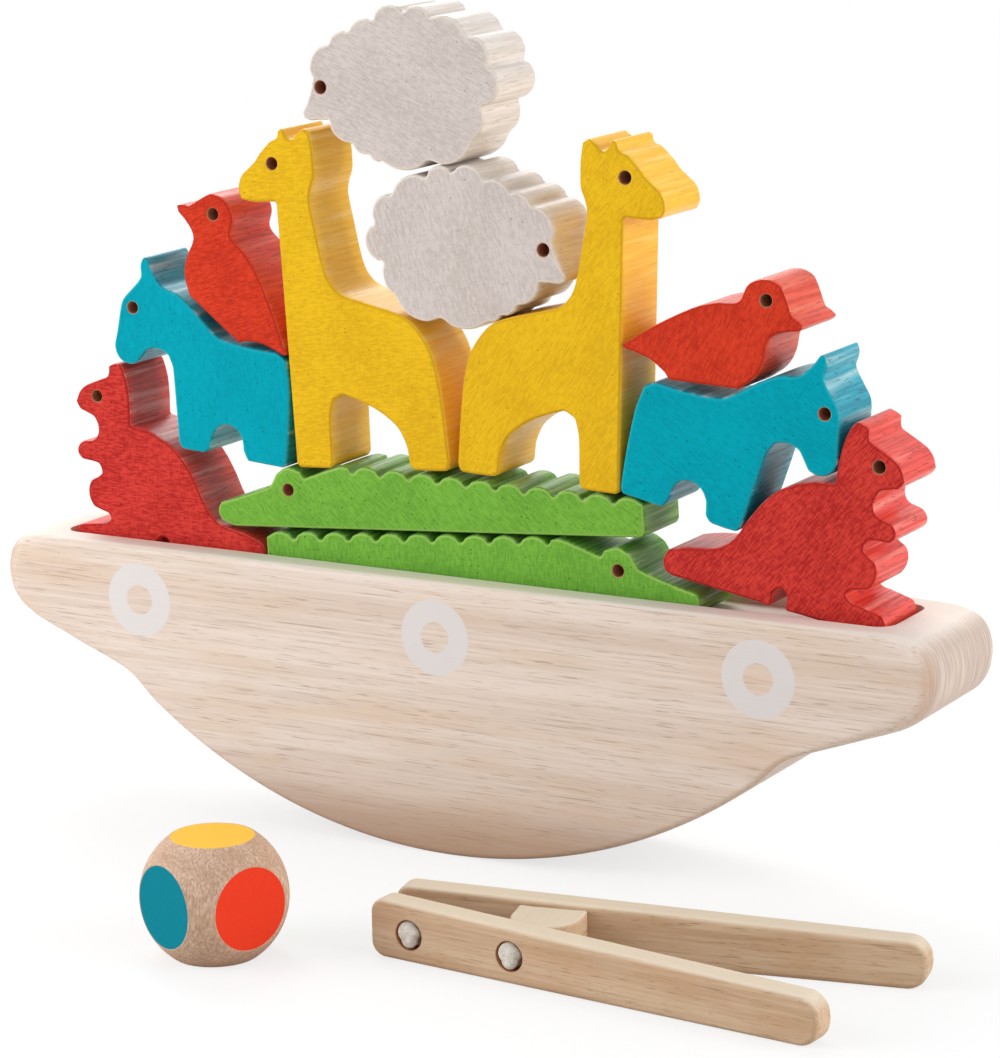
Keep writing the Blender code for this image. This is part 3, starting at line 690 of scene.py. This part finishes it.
def clear_rubberwood(name, pale, tan, warm, pore, end, length, roughness, dash_strength):
    """Bare rubberwood with the grain along its board's first axis; gives its parts to build on."""
    material, tree, shader = new_material(name, Roughness=roughness, Specular_IOR_Level=0.16)
    board = add_node(tree, "Attribute", attribute_name="board").outputs["Vector"]
    layer = {}
    for part, (along, across, through) in WOOD_LAYERS.items():
        size = (along * length, across, through)
        at = add_node(tree, "VectorMath", {0: board, 1: size}, operation="DIVIDE")
        noise = add_node(tree, "TexNoise", {"Vector": at.outputs[0], "Scale": 1.0, "Detail": 2.0})
        layer[part] = noise.outputs[0]
    both = add_node(tree, "Mix", {"Factor": 0.5, 2: layer["bands"], 3: layer["streaks"]})
    tone = add_node(tree, "MapRange", {"Value": both.outputs[0],
                                       "From Min": 0.38, "From Max": 0.62})
    plank = add_node(tree, "Mix", {"Factor": tone.outputs[0], 6: tint(tan), 7: tint(pale)},
                     data_type="RGBA")
    warmth = add_node(tree, "MapRange", {"Value": layer["patches"], "From Min": 0.48,
                                         "From Max": 0.72, "To Max": 0.5})
    plank = add_node(tree, "Mix", {"Factor": warmth.outputs[0], 6: plank.outputs[2],
                                   7: tint(warm)}, data_type="RGBA")
    dashes = []
    for part in ("long_dashes", "short_dashes"):
        dashes.append(add_node(tree, "MapRange", {"Value": layer[part],
                                                  "From Min": 0.61, "From Max": 0.72}))
    dash = add_node(tree, "Math", {0: dashes[0].outputs[0], 1: dashes[1].outputs[0]},
                    operation="MAXIMUM")
    faint = add_node(tree, "Math", {0: dash.outputs[0], 1: dash_strength}, operation="MULTIPLY")
    plank = add_node(tree, "Mix", {"Factor": faint.outputs[0], 6: plank.outputs[2],
                                   7: tint(pore)}, data_type="RGBA")
    lines = add_node(tree, "MapRange", {"Value": layer["end_lines"], "From Min": 0.35,
                                        "From Max": 0.65, "To Max": 0.8})
    ends = add_node(tree, "Mix", {"Factor": lines.outputs[0], 6: tint(end), 7: tint(tan)},
                    data_type="RGBA")
    bump = add_node(tree, "Bump", {"Height": dash.outputs[0], "Strength": 0.3,
                                   "Distance": -0.08 * MM})
    tree.links.new(bump.outputs[0], shader.inputs["Normal"])
    return material, tree, shader, board, plank.outputs[2], ends.outputs[2]


print("clear rubberwood of", len(WOOD_LAYERS), "layers")

# %% [markdown]
# ## Boat finish
# The hull has the same wood. The rim on top is painted paler, as painted light from above, the
# noses show end grain, the rounded edge between a side and a nose has a warmer tone, and the
# belly is painted a little darker and warmer towards the bottom, as painted shade from the
# table. The surface normal and the height decide between these, so they follow the shape
# without a painted map.

# %% Boat wood
# Height in mm below which the belly gets painted shade from the table
PAINTED_SHADE_HEIGHT = 26.0  # mm

boat_wood, tree, shader, board, plank, ends = clear_rubberwood(
    "boat_clear_rubberwood", "#EFE1D7", "#DFCCBE", "#E3C8AE", "#98795F", "#B5A49B",
    length=1.0, roughness=0.55, dash_strength=0.5)
looks = add_node(tree, "TexCoord").outputs["Normal"]
normal = add_node(tree, "VectorMath", {0: looks}, operation="ABSOLUTE")
facing = add_node(tree, "SeparateXYZ", {0: normal.outputs[0]})
# Painted light: the rim's top is painted paler, standing in for light from above.
painted_top_light = add_node(tree, "MapRange", {"Value": facing.outputs["Z"], "From Min": 0.6,
                                     "From Max": 0.97, "To Max": 0.8})
hull = add_node(tree, "Mix", {"Factor": painted_top_light.outputs[0], 6: plank, 7: tint("#F2ECE2")},
                data_type="RGBA")
is_end = add_node(tree, "MapRange", {"Value": facing.outputs["X"],
                                     "From Min": 0.35, "From Max": 0.85})
hull = add_node(tree, "Mix", {"Factor": is_end.outputs[0], 6: hull.outputs[2], 7: ends},
                data_type="RGBA")
skew = add_node(tree, "Math", {0: facing.outputs["X"], 1: facing.outputs["Y"]},
                operation="MULTIPLY")
warm_edge = add_node(tree, "MapRange", {"Value": skew.outputs[0], "From Min": 0.15,
                                        "From Max": 0.5, "To Max": 0.35})
hull = add_node(tree, "Mix", {"Factor": warm_edge.outputs[0], 6: hull.outputs[2],
                              7: tint("#D3A784")}, data_type="RGBA")
where = add_node(tree, "SeparateXYZ", {0: board})
# Painted shade: the belly is painted darker and warmer towards the bottom, standing in for the
# table's shade.
painted_contact_shade = add_node(tree, "MapRange", {"Value": where.outputs["Z"], "From Min": PAINTED_SHADE_HEIGHT,
                                     "From Max": 0.0, "To Max": 0.8},
                  interpolation_type="SMOOTHSTEP")
hull = add_node(tree, "Mix", {"Factor": painted_contact_shade.outputs[0], 6: hull.outputs[2],
                              7: tint("#A78163")}, data_type="RGBA")
print("made", boat_wood.name)

# %% [markdown]
# ## Printed rings
# Rings are printed on both sides in a thin white ink that lets a little of the grain through.
# They could be flat pieces laid on the wood, but ink has no thickness. They repeat at one
# spacing, so the distance to the nearest ring's middle draws all of them.

# %% Rings in white ink
RING_SPACING = 95.0  # mm
RING_SHIFT = 0.75
RING_HEIGHT = 60.0
RING_OUTER = 10.3
RING_INNER = 4.2
PRINT_SOFTNESS = 0.12
FLAT_SIDE = 0.95  # the ink is only where the side looks straight out
INK_COVER = 0.94

shifted = add_node(tree, "Math", {0: where.outputs["X"], 1: RING_SHIFT}, operation="ADD")
beside = add_node(tree, "Math", {0: shifted.outputs[0], 1: RING_SPACING / 2,
                                 2: -RING_SPACING / 2}, operation="WRAP")
above = add_node(tree, "Math", {0: where.outputs["Z"], 1: RING_HEIGHT}, operation="SUBTRACT")
off = add_node(tree, "CombineXYZ", {"X": beside.outputs[0], "Y": above.outputs[0]})
reach = add_node(tree, "VectorMath", {0: off.outputs[0]}, operation="LENGTH").outputs["Value"]
ring = add_node(tree, "Math", {0: facing.outputs["Y"], 1: FLAT_SIDE}, operation="GREATER_THAN")
for radius, side in ((RING_OUTER, -PRINT_SOFTNESS), (RING_INNER, PRINT_SOFTNESS)):
    within = add_node(tree, "MapRange", {"Value": reach, "From Min": radius - side,
                                         "From Max": radius + side})
    ring = add_node(tree, "Math", {0: ring.outputs[0], 1: within.outputs[0]},
                    operation="MULTIPLY")
ink = add_node(tree, "Math", {0: ring.outputs[0], 1: INK_COVER}, operation="MULTIPLY")
printed = add_node(tree, "Mix", {"Factor": ink.outputs[0], 6: hull.outputs[2],
                                 7: tint("#E5E2E3")}, data_type="RGBA")
tree.links.new(printed.outputs[2], shader.inputs["Base Color"])
print("rings every", RING_SPACING, "mm")

# %% [markdown]
# ## Hull
# The hull is one thick plank: a cut through the wall beside the tray gives its side view. The
# bows are sanded rounder than the belly, so the rounding grows smoothly towards both ends.

# %% Hull plank
BOW_ROUNDING = 4.4 * MM
BELLY_ROUNDING = 1.8 * MM
BOW_START = 110.0 * MM
BOW_FULL = 138.0 * MM
HULL_RIM_STEPS = 6
IN_THE_WALL = 0.8  # share of the half width, outside the tray

low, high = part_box("boat_hull")
half_width = high.y
side_view = cut_loops("boat_hull", (0.0, half_width * IN_THE_WALL, 0.0), ACROSS)[0]
loop = [Vector((point.x, 0.0, point.z)) for point in smooth_outline(side_view)]
radii = []
for point in loop:
    share = min(1.0, max(0.0, (abs(point.x) - BOW_START) / (BOW_FULL - BOW_START)))
    smooth_share = share * share * (3 - 2 * share)
    radii.append(BELLY_ROUNDING + (BOW_ROUNDING - BELLY_ROUNDING) * smooth_share)
board = rounded_board(loop, ACROSS * 2 * half_width, radii, HULL_RIM_STEPS)
boat = new_piece("boat_hull_wood", board, [boat_wood])
print("hull plank:", len(boat.data.polygons), "faces")

# %% [markdown]
# ## Tray
# The tray is a shallow pocket with round corners, cut with a router. Its outline is the smaller
# loop of a level cut just below the rim, and a Boolean takes it out of the plank. Its mouth is
# bevelled last, and stays nearly crisp.

# %% Tray
TRAY_ROUNDING = 0.5 * MM
BELOW_RIM = 2.0 * MM
ON_THE_FLOOR = 0.7  # shares of the half width, inside the tray's wall
AT_THE_MOUTH = 0.75

pocket = cut_loops("boat_hull", (0.0, 0.0, high.z - BELOW_RIM), (0.0, 0.0, 1.0))[1]
pocket = smooth_outline(pocket)
solid_points = [vert.co for vert in frame["nodes"]["boat_hull"].data.vertices]
floor_height = min(co.z for co in solid_points if abs(co.y) < half_width * ON_THE_FLOOR)
shape = bmesh.new()
shape.faces.new([shape.verts.new((point.x, point.y, floor_height)) for point in pocket])
grown = bmesh.ops.extrude_face_region(shape, geom=shape.faces[:])
moved = [part for part in grown["geom"] if isinstance(part, bmesh.types.BMVert)]
bmesh.ops.translate(shape, verts=moved, vec=(0.0, 0.0, 2 * (high.z - floor_height)))
bmesh.ops.recalc_face_normals(shape, faces=shape.faces)
router = new_piece("tray_router", shape, [boat_wood])
cut = boat.modifiers.new("carve", "BOOLEAN")
cut.object = router
cut.solver = "EXACT"
cut.material_mode = "TRANSFER"
apply_modifiers(boat)
used = router.data
bpy.data.objects.remove(router)
bpy.data.meshes.remove(used)

shape = bmesh.new()
shape.from_mesh(boat.data)
mouth = []
for edge in shape.edges:
    in_tray = max(abs(vert.co.y) for vert in edge.verts) < half_width * AT_THE_MOUTH
    on_top = min(vert.co.z for vert in edge.verts) > high.z - WELD
    if in_tray and on_top and edge.calc_face_angle(0.0) > SOFT_TURN:
        mouth.append(edge)
bmesh.ops.bevel(shape, geom=mouth, offset=TRAY_ROUNDING, offset_type="OFFSET", segments=3,
                profile=0.5, affect="EDGES", clamp_overlap=True, material=-1)
shape.to_mesh(boat.data)
shape.free()
finished(boat, Matrix.Identity(3), "boat_hull")
print("hull:", len(boat.data.polygons), "faces, tray floor at", round(floor_height / MM, 1), "mm")

# %% [markdown]
# ## Die finish
# The die is a wooden cube with painted faces. Its bare wood is speckled, because the round
# corners cut the grain at every angle, and the paint is a thin matt coat of water paint that
# sinks unevenly into the wood. A noise between two close tones gives both.

# %% Die wood and paints
SPECKLE = (2.2, 2.2, 0.45)  # per mm: specks 0.45 mm wide and 2.2 mm high
PAINT_PATCH = 1.25  # mm

die_wood, tree, shader, board, plank, ends = clear_rubberwood(
    "die_clear_rubberwood", "#E6C9B3", "#C6A48C", "#D0AA8E", "#97735B", "#B4917A",
    length=0.15, roughness=0.6, dash_strength=0.3)
upright = add_node(tree, "VectorMath", {0: board, 1: SPECKLE}, operation="MULTIPLY")
speckle = add_node(tree, "TexNoise", {"Vector": upright.outputs[0], "Scale": 1.0, "Detail": 2.0})
spread = add_node(tree, "MapRange", {"Value": speckle.outputs[0],
                                     "From Min": 0.35, "From Max": 0.65})
mixed = add_node(tree, "Mix", {"Factor": spread.outputs[0], 6: plank, 7: ends}, data_type="RGBA")
tree.links.new(mixed.outputs[2], shader.inputs["Base Color"])


def brushed_paint(name, colour, thin):
    """A thin matt coat of water paint that sinks unevenly into the wood."""
    material, tree, shader = new_material(name, Roughness=0.6, Specular_IOR_Level=0.05)
    board = add_node(tree, "Attribute", attribute_name="board").outputs["Vector"]
    patches = add_node(tree, "TexNoise", {"Vector": board, "Scale": 1 / PAINT_PATCH, "Detail": 4.0,
                                          "Roughness": 0.7})
    coat = add_node(tree, "Mix", {"Factor": patches.outputs[0], 6: tint(thin), 7: tint(colour)},
                    data_type="RGBA")
    tree.links.new(coat.outputs[2], shader.inputs["Base Color"])
    bump = add_node(tree, "Bump", {"Height": patches.outputs[0], "Strength": 0.2,
                                   "Distance": 0.05 * MM})
    tree.links.new(bump.outputs[0], shader.inputs["Normal"])
    return material


# Paint for each face, by the way it looks before the die is turned
DIE_PAINTS = [
    ((0, 0, 1), brushed_paint("die_yellow_paint", "#FCCA53", "#F5BE42")),
    ((0, -1, 0), brushed_paint("die_turquoise_paint", "#008A9D", "#00798D")),
    ((1, 0, 0), brushed_paint("die_red_paint", "#F5472B", "#EC3C23")),
    ((0, 1, 0), brushed_paint("die_green_paint", "#6FB444", "#5FA338")),
    ((-1, 0, 0), brushed_paint("die_crimson_paint", "#C4302F", "#AE2828")),
    ((0, 0, -1), brushed_paint("die_white_paint", "#E6E2DC", "#D8D3CC")),
]
print("die:", len(DIE_PAINTS), "paints")

# %% [markdown]
# ## Die
# The cube was tumbled until only a disc is left of each face. A bevelled cube would keep square
# faces, but a fine ball that is cut by six planes gives that shape. The six discs are painted a
# little short of their rims, so a thin ring of bare wood shows round each.

# %% Die
DIE_TURN = math.radians(-21.1)
PAINT_MARGIN = 0.25 * MM
BALL_SEGMENTS = 96
BALL_RINGS = 64
FACET_CORNERS = 8  # a disc has more corners than this, a facet of the ball has fewer

low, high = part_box("die")
die_middle = (low + high) / 2
half = (high.z - low.z) / 2
flat_top = [v.co for v in frame["nodes"]["die"].data.vertices if v.co.z > high.z - WELD]
flat_radius = max((point - Vector((die_middle.x, die_middle.y, point.z))).length
                  for point in flat_top)
shape = bmesh.new()
bmesh.ops.create_uvsphere(shape, u_segments=BALL_SEGMENTS, v_segments=BALL_RINGS,
                          radius=math.hypot(half, flat_radius))
for way, _ in DIE_PAINTS:
    everything = shape.verts[:] + shape.edges[:] + shape.faces[:]
    cut = bmesh.ops.bisect_plane(shape, geom=everything, dist=WELD, plane_co=Vector(way) * half,
                                 plane_no=way, clear_outer=True)
    rim = [part for part in cut["geom_cut"] if isinstance(part, bmesh.types.BMEdge)]
    bmesh.ops.contextual_create(shape, geom=rim)
discs = [face for face in shape.faces if len(face.verts) > FACET_CORNERS]
bmesh.ops.inset_individual(shape, faces=discs, thickness=PAINT_MARGIN)
for face in shape.faces:
    if len(face.verts) > FACET_CORNERS:
        ways = [face.normal.dot(Vector(way)) for way, _ in DIE_PAINTS]
        face.material_index = 1 + ways.index(max(ways))
turn = Matrix.Rotation(DIE_TURN, 3, "Z")
placed = Matrix.Translation(die_middle) @ turn.to_4x4()
bmesh.ops.transform(shape, matrix=placed, verts=shape.verts)
die = new_piece("die_wood", shape, [die_wood] + [paint for _, paint in DIE_PAINTS])
finished(die, turn.transposed(), "die")
print("die:", len(die.data.polygons), "faces, flats of radius", round(flat_radius / MM, 1), "mm")

# %% [markdown]
# ## Tongs
# Two tapered arms lie on edge, with a round-nosed spacer between them. Their narrow top edges
# are painted paler than the broad faces, as painted light from above, so the wood again asks
# which way it looks.

# %% Tongs wood
tongs_wood, tree, shader, _, plank, _ = clear_rubberwood(
    "tongs_clear_rubberwood", "#DBC0A2", "#C7A788", "#C89E7B", "#8A694C", "#B39577",
    length=0.45, roughness=0.55, dash_strength=0.45)
looks = add_node(tree, "TexCoord").outputs["Normal"]
facing = add_node(tree, "SeparateXYZ", {0: looks})
# Painted light: edges that face upward are painted paler, standing in for light from above.
tongs_top_light = add_node(tree, "MapRange", {"Value": facing.outputs["Z"], "From Min": 0.3,
                                      "From Max": 0.85, "To Max": 0.75})
tongs_top_lit = add_node(tree, "Mix", {"Factor": tongs_top_light.outputs[0], 6: plank, 7: tint("#F0E4CF")},
                  data_type="RGBA")
tree.links.new(tongs_top_lit.outputs[2], shader.inputs["Base Color"])
print("made", tongs_wood.name)

# %% [markdown]
# ## Arms and spacer
# These are boards like the animals, sawn along a line in their own plane, so the same helpers
# make them. Each arm has two cord holes with a seat for the knot, bored by one stepped bit
# each. The places of the holes are kept, because the cords have to run through them.

# %% Arms and spacer
FRONT_ARM_TURN = math.radians(-4.6)
BACK_ARM_TURN = math.radians(11.4)
ARM_ROUNDING = 1.3 * MM
SPACER_ROUNDING = 0.9 * MM
CORD_HOLE = 1.8 * MM
KNOT_SEAT = 3.8 * MM
KNOT_SINK = 3.4 * MM
SEAT_FLARE = 0.2 * MM
DRILL_POINT = 0.8 * MM
ARM_THICKNESS = 7.2 * MM
SPACER_CUT = 1.0 * MM  # above its lower side
UP = Vector((0.0, 0.0, 1.0))

arm_ways = {}
cord_holes = {}
for node, turn, outer_side in (("tongs_front_arm", FRONT_ARM_TURN, -1),
                               ("tongs_back_arm", BACK_ARM_TURN, 1)):
    along = Vector((math.cos(turn), math.sin(turn), 0.0))
    across = Vector((-along.y, along.x, 0.0))
    low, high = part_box(node)
    loops = cut_loops(node, (low + high) / 2, across)
    loop = smooth_outline(loops[0])
    board = rounded_board(loop, across * ARM_THICKNESS, [ARM_ROUNDING] * len(loop), RIM_STEPS)
    outward = across * outer_side
    arm_ways[node] = (along, outward)
    middles = [sum(hole, Vector()) / len(hole) for hole in loops[1:3]]
    cord_holes[node] = sorted(middles, key=along.dot)
    reach = ARM_THICKNESS / 2
    steps = [(-reach, CORD_HOLE + SEAT_FLARE), (SEAT_FLARE - reach, CORD_HOLE),
             (reach - KNOT_SINK - DRILL_POINT, CORD_HOLE), (reach - KNOT_SINK, KNOT_SEAT),
             (reach - SEAT_FLARE, KNOT_SEAT), (reach, KNOT_SEAT + SEAT_FLARE)]
    bored(board, across, [(hole, outward, steps) for hole in cord_holes[node]], 1)
    arm = new_piece(node + "_wood", board, [tongs_wood, drilled_wood])
    finished(arm, (along, across, UP), node)
    print(arm.name, len(arm.data.polygons), "faces,", len(loops) - 1, "holes")

low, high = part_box("tongs_spacer")
loop = smooth_outline(cut_loops("tongs_spacer", (0.0, 0.0, low.z + SPACER_CUT), UP)[0])
loop = [Vector((point.x, point.y, (low.z + high.z) / 2)) for point in loop]
board = rounded_board(loop, UP * (high.z - low.z), [SPACER_ROUNDING] * len(loop), RIM_STEPS)
spacer = new_piece("tongs_spacer_wood", board, [tongs_wood])
along, outward = arm_ways["tongs_back_arm"]
finished(spacer, (outward, along, UP), "tongs_spacer")
print("spacer:", len(spacer.data.polygons), "faces")

# %% [markdown]
# ## Braided elastic
# The cords are braided from rubber and white yarn that has gone a little grey. The braid is so
# fine that at this size it only roughens the surface, so a noise of one thread's width gives
# both its tone and its bump.

# %% Braided elastic
YARN = 0.45  # mm, one thread of the braid

elastic, tree, shader = new_material("braided_elastic", Roughness=0.85, Specular_IOR_Level=0.2)
place = add_node(tree, "TexCoord").outputs["Object"]
yarn = add_node(tree, "TexNoise", {"Vector": place, "Scale": 1 / (YARN * MM), "Detail": 2.0})
soil = add_node(tree, "TexNoise", {"Vector": place, "Scale": 0.3 / (YARN * MM), "Detail": 2.0})
both = add_node(tree, "Mix", {"Factor": 0.5, 2: yarn.outputs[0], 3: soil.outputs[0]})
thread = add_node(tree, "MapRange", {"Value": both.outputs[0],
                                     "From Min": 0.35, "From Max": 0.65})
grey = add_node(tree, "Mix", {"Factor": thread.outputs[0], 6: tint("#C3BDB2"),
                              7: tint("#EDEAE2")}, data_type="RGBA")
tree.links.new(grey.outputs[2], shader.inputs["Base Color"])
bump = add_node(tree, "Bump", {"Height": yarn.outputs[0], "Strength": 0.4,
                               "Distance": 0.12 * MM})
tree.links.new(bump.outputs[0], shader.inputs["Normal"])
print("made", elastic.name)

# %% [markdown]
# ## Elastic cords
# Two short elastic cords hold the arms together: one pulls the arms onto the spacer, and one
# behind it springs them open. Each ends in an overhand knot, drawn so tight that it is a lump
# which fills its seat. A curve runs from knot to knot, thicker where it is knotted, its bevel
# makes it round, and a voxel remesh melts the turns of the knot together. When the arms are
# squeezed the cord bends and stretches between them.

# %% Knotted cords
CORD_RADIUS = 1.15 * MM
CORD_LEAD = 1.0 * MM  # the cord is straight this far out of the arm
KNOT_RADIUS = 1.60 * MM
KNOT_TURN = 1.35 * MM
KNOT_SWELL = 0.70 * MM
KNOT_HEIGHT = 0.75 * MM
KNOT_ROUNDS = 2
KNOT_LOBES = 1.5  # in each round
KNOT_STEPS = 24
KNOT_LIFT = 2.2 * MM
KNOT_GRAIN = 0.22 * MM


def knotted_end(hole, along, outward):
    """Points and radii from inside the arm, through a knot in the seat, to the cord's tail."""
    seat = hole + outward * (ARM_THICKNESS / 2 - KNOT_SINK)
    route = [(hole - outward * (ARM_THICKNESS / 2 + CORD_LEAD), CORD_RADIUS),
             (hole - outward * (ARM_THICKNESS / 4), CORD_RADIUS), (seat, CORD_RADIUS)]
    heart = seat + outward * KNOT_LIFT
    for step in range(1, KNOT_STEPS):
        angle = 2 * math.pi * KNOT_ROUNDS * step / KNOT_STEPS
        swell = KNOT_TURN + KNOT_SWELL * math.cos(KNOT_LOBES * angle)
        flat = along * (swell * math.cos(angle)) + UP * (swell * math.sin(angle))
        rise = outward * (KNOT_HEIGHT * math.sin(KNOT_LOBES * angle))
        route.append((heart + flat + rise, KNOT_RADIUS))
    return route


for cord, hole_number in (("tongs_rear_cord", 0), ("tongs_pivot_cord", 1)):
    halves = []
    for node in ("tongs_front_arm", "tongs_back_arm"):
        halves.append(knotted_end(cord_holes[node][hole_number], *arm_ways[node]))
    route = halves[0][::-1] + halves[1]
    curve = bpy.data.curves.new(cord + "_elastic", "CURVE")
    curve.dimensions = "3D"
    curve.bevel_depth = 1.0
    curve.bevel_resolution = 4
    curve.resolution_u = 4
    curve.use_fill_caps = True
    spline = curve.splines.new("BEZIER")
    spline.bezier_points.add(len(route) - 1)
    for knot, (point, radius) in zip(spline.bezier_points, route):
        knot.co = point
        knot.radius = radius
        knot.handle_left_type = knot.handle_right_type = "AUTO"
    strand = add_object(cord + "_strand", curve)
    bpy.context.view_layer.update()
    ready = strand.evaluated_get(bpy.context.evaluated_depsgraph_get())
    mesh = bpy.data.meshes.new_from_object(ready)
    bpy.data.objects.remove(strand)
    bpy.data.curves.remove(curve)
    mesh.name = cord + "_elastic"
    mesh.materials.clear()
    mesh.materials.append(elastic)
    elastic_cord = add_object(cord + "_elastic", mesh)
    melt = elastic_cord.modifiers.new("drawn_tight", "REMESH")
    melt.mode = "VOXEL"
    melt.voxel_size = KNOT_GRAIN
    calm = elastic_cord.modifiers.new("soft", "SMOOTH")
    calm.factor = 0.5
    calm.iterations = 6
    apply_modifiers(elastic_cord)
    elastic_cord.data.shade_smooth()
    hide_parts(cord)
    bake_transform(elastic_cord)
    print(elastic_cord.name, len(elastic_cord.data.polygons), "faces")

# %% [markdown]
# ## Floor
# The toy stands on a plain white floor. To the camera and in reflections the floor is white, so
# that it meets the white background without a line, but it keeps the soft shadow under the
# pieces. Towards the toy it throws back less light, like a table top, so the belly is darker
# below. The Light Path node tells these rays apart.

# %% Floor
FLOOR_HALF = 6.0  # metres
SHADOW_NEAR = 0.20  # the shadow fades out between these distances
SHADOW_FAR = 0.55
PLAIN_SHARE = 0.72  # how plain white the floor is in the shadow
WHITE = (1.0, 1.0, 1.0, 1.0)


def sees_white(tree):
    """Light Path, and 1 for the rays that see the white background: camera, glossy and glass."""
    rays = add_node(tree, "LightPath")
    shown = add_node(tree, "Math", {0: rays.outputs["Is Camera Ray"],
                                    1: rays.outputs["Is Glossy Ray"]}, operation="MAXIMUM")
    shown = add_node(tree, "Math", {0: shown.outputs[0],
                                    1: rays.outputs["Is Transmission Ray"]}, operation="MAXIMUM")
    return rays, shown.outputs[0]


shape = bmesh.new()
bmesh.ops.create_grid(shape, x_segments=1, y_segments=1, size=FLOOR_HALF)
floor_paper, tree, shader = new_material("white_paper_floor", Roughness=0.9,
                                         Specular_IOR_Level=0.1)
rays, shown = sees_white(tree)
paper = add_node(tree, "Mix", {"Factor": shown, 6: tint("#CFC8BF"), 7: tint("#FFFFFF")},
                 data_type="RGBA")
tree.links.new(paper.outputs[2], shader.inputs["Base Color"])
white = add_node(tree, "Emission", {"Color": WHITE, "Strength": 1.0})
place = add_node(tree, "TexCoord").outputs["Object"]
away = add_node(tree, "VectorMath", {0: place}, operation="LENGTH")
fade = add_node(tree, "MapRange", {"Value": away.outputs["Value"], "From Min": SHADOW_NEAR,
                                   "From Max": SHADOW_FAR, "To Min": PLAIN_SHARE, "To Max": 1.0},
                interpolation_type="SMOOTHSTEP")
seen = add_node(tree, "Math", {0: rays.outputs["Is Camera Ray"], 1: fade.outputs[0]},
                operation="MULTIPLY")
surface = add_node(tree, "MixShader", {0: seen.outputs[0], 1: shader.outputs[0],
                                       2: white.outputs[0]})
tree.links.new(surface.outputs[0], tree.nodes["Material Output"].inputs["Surface"])
ground = new_piece("floor", shape, [floor_paper])
ground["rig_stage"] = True
print("floor:", 2 * FLOOR_HALF, "m wide")

# %% [markdown]
# ## Light
# A studio picture is lit softly from several sides. A wide lamp at the front left shows the
# faces, one on the right lights the right sides, and one behind gives the tops their shine. The
# world is white to the camera and in reflections, and only a weak fill to everything else, so
# that the background doesn't bleach the toy.

# %% World and lamps
FILL = 0.46
AIM = Vector((0.0, -0.01, 0.09))

world = bpy.data.worlds.new("studio")
world.use_nodes = True
bpy.context.scene.world = world
tree = world.node_tree
tree.nodes.clear()
_, shown = sees_white(tree)
fill = add_node(tree, "Background", {"Color": WHITE, "Strength": FILL})
backdrop = add_node(tree, "Background", {"Color": WHITE, "Strength": 1.0})
both = add_node(tree, "MixShader", {0: shown, 1: fill.outputs[0], 2: backdrop.outputs[0]})
add_node(tree, "OutputWorld", {"Surface": both.outputs[0]})

# Name, place, width in metres and power in watts
LAMPS = [
    ("front_left_softbox", (-0.80, -0.75, 0.45), 0.8, 8.7),
    ("right_softbox", (1.15, 0.10, 0.40), 0.8, 8.8),
    ("back_softbox", (-0.55, 0.65, 1.00), 0.9, 10.4),
]
for name, spot, size, watts in LAMPS:
    lamp = bpy.data.lights.new(name, "AREA")
    lamp.shape = "SQUARE"
    lamp.size = size
    lamp.energy = watts
    holder = add_object(name, lamp)
    holder.location = spot
    holder.rotation_euler = (AIM - Vector(spot)).to_track_quat("-Z", "Y").to_euler()
bpy.context.scene.view_settings.view_transform = "Standard"
print("lamps:", ", ".join(lamp[0] for lamp in LAMPS))

# %% [markdown]
# ## Size and finish
# The dressed toy must stay in the box of the solids. The last call prints the box of the
# dressed toy.

# %% Size and finish
low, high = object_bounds()
print("visual box, mm:", [round(x / MM, 1) for x in (*low, *high)])
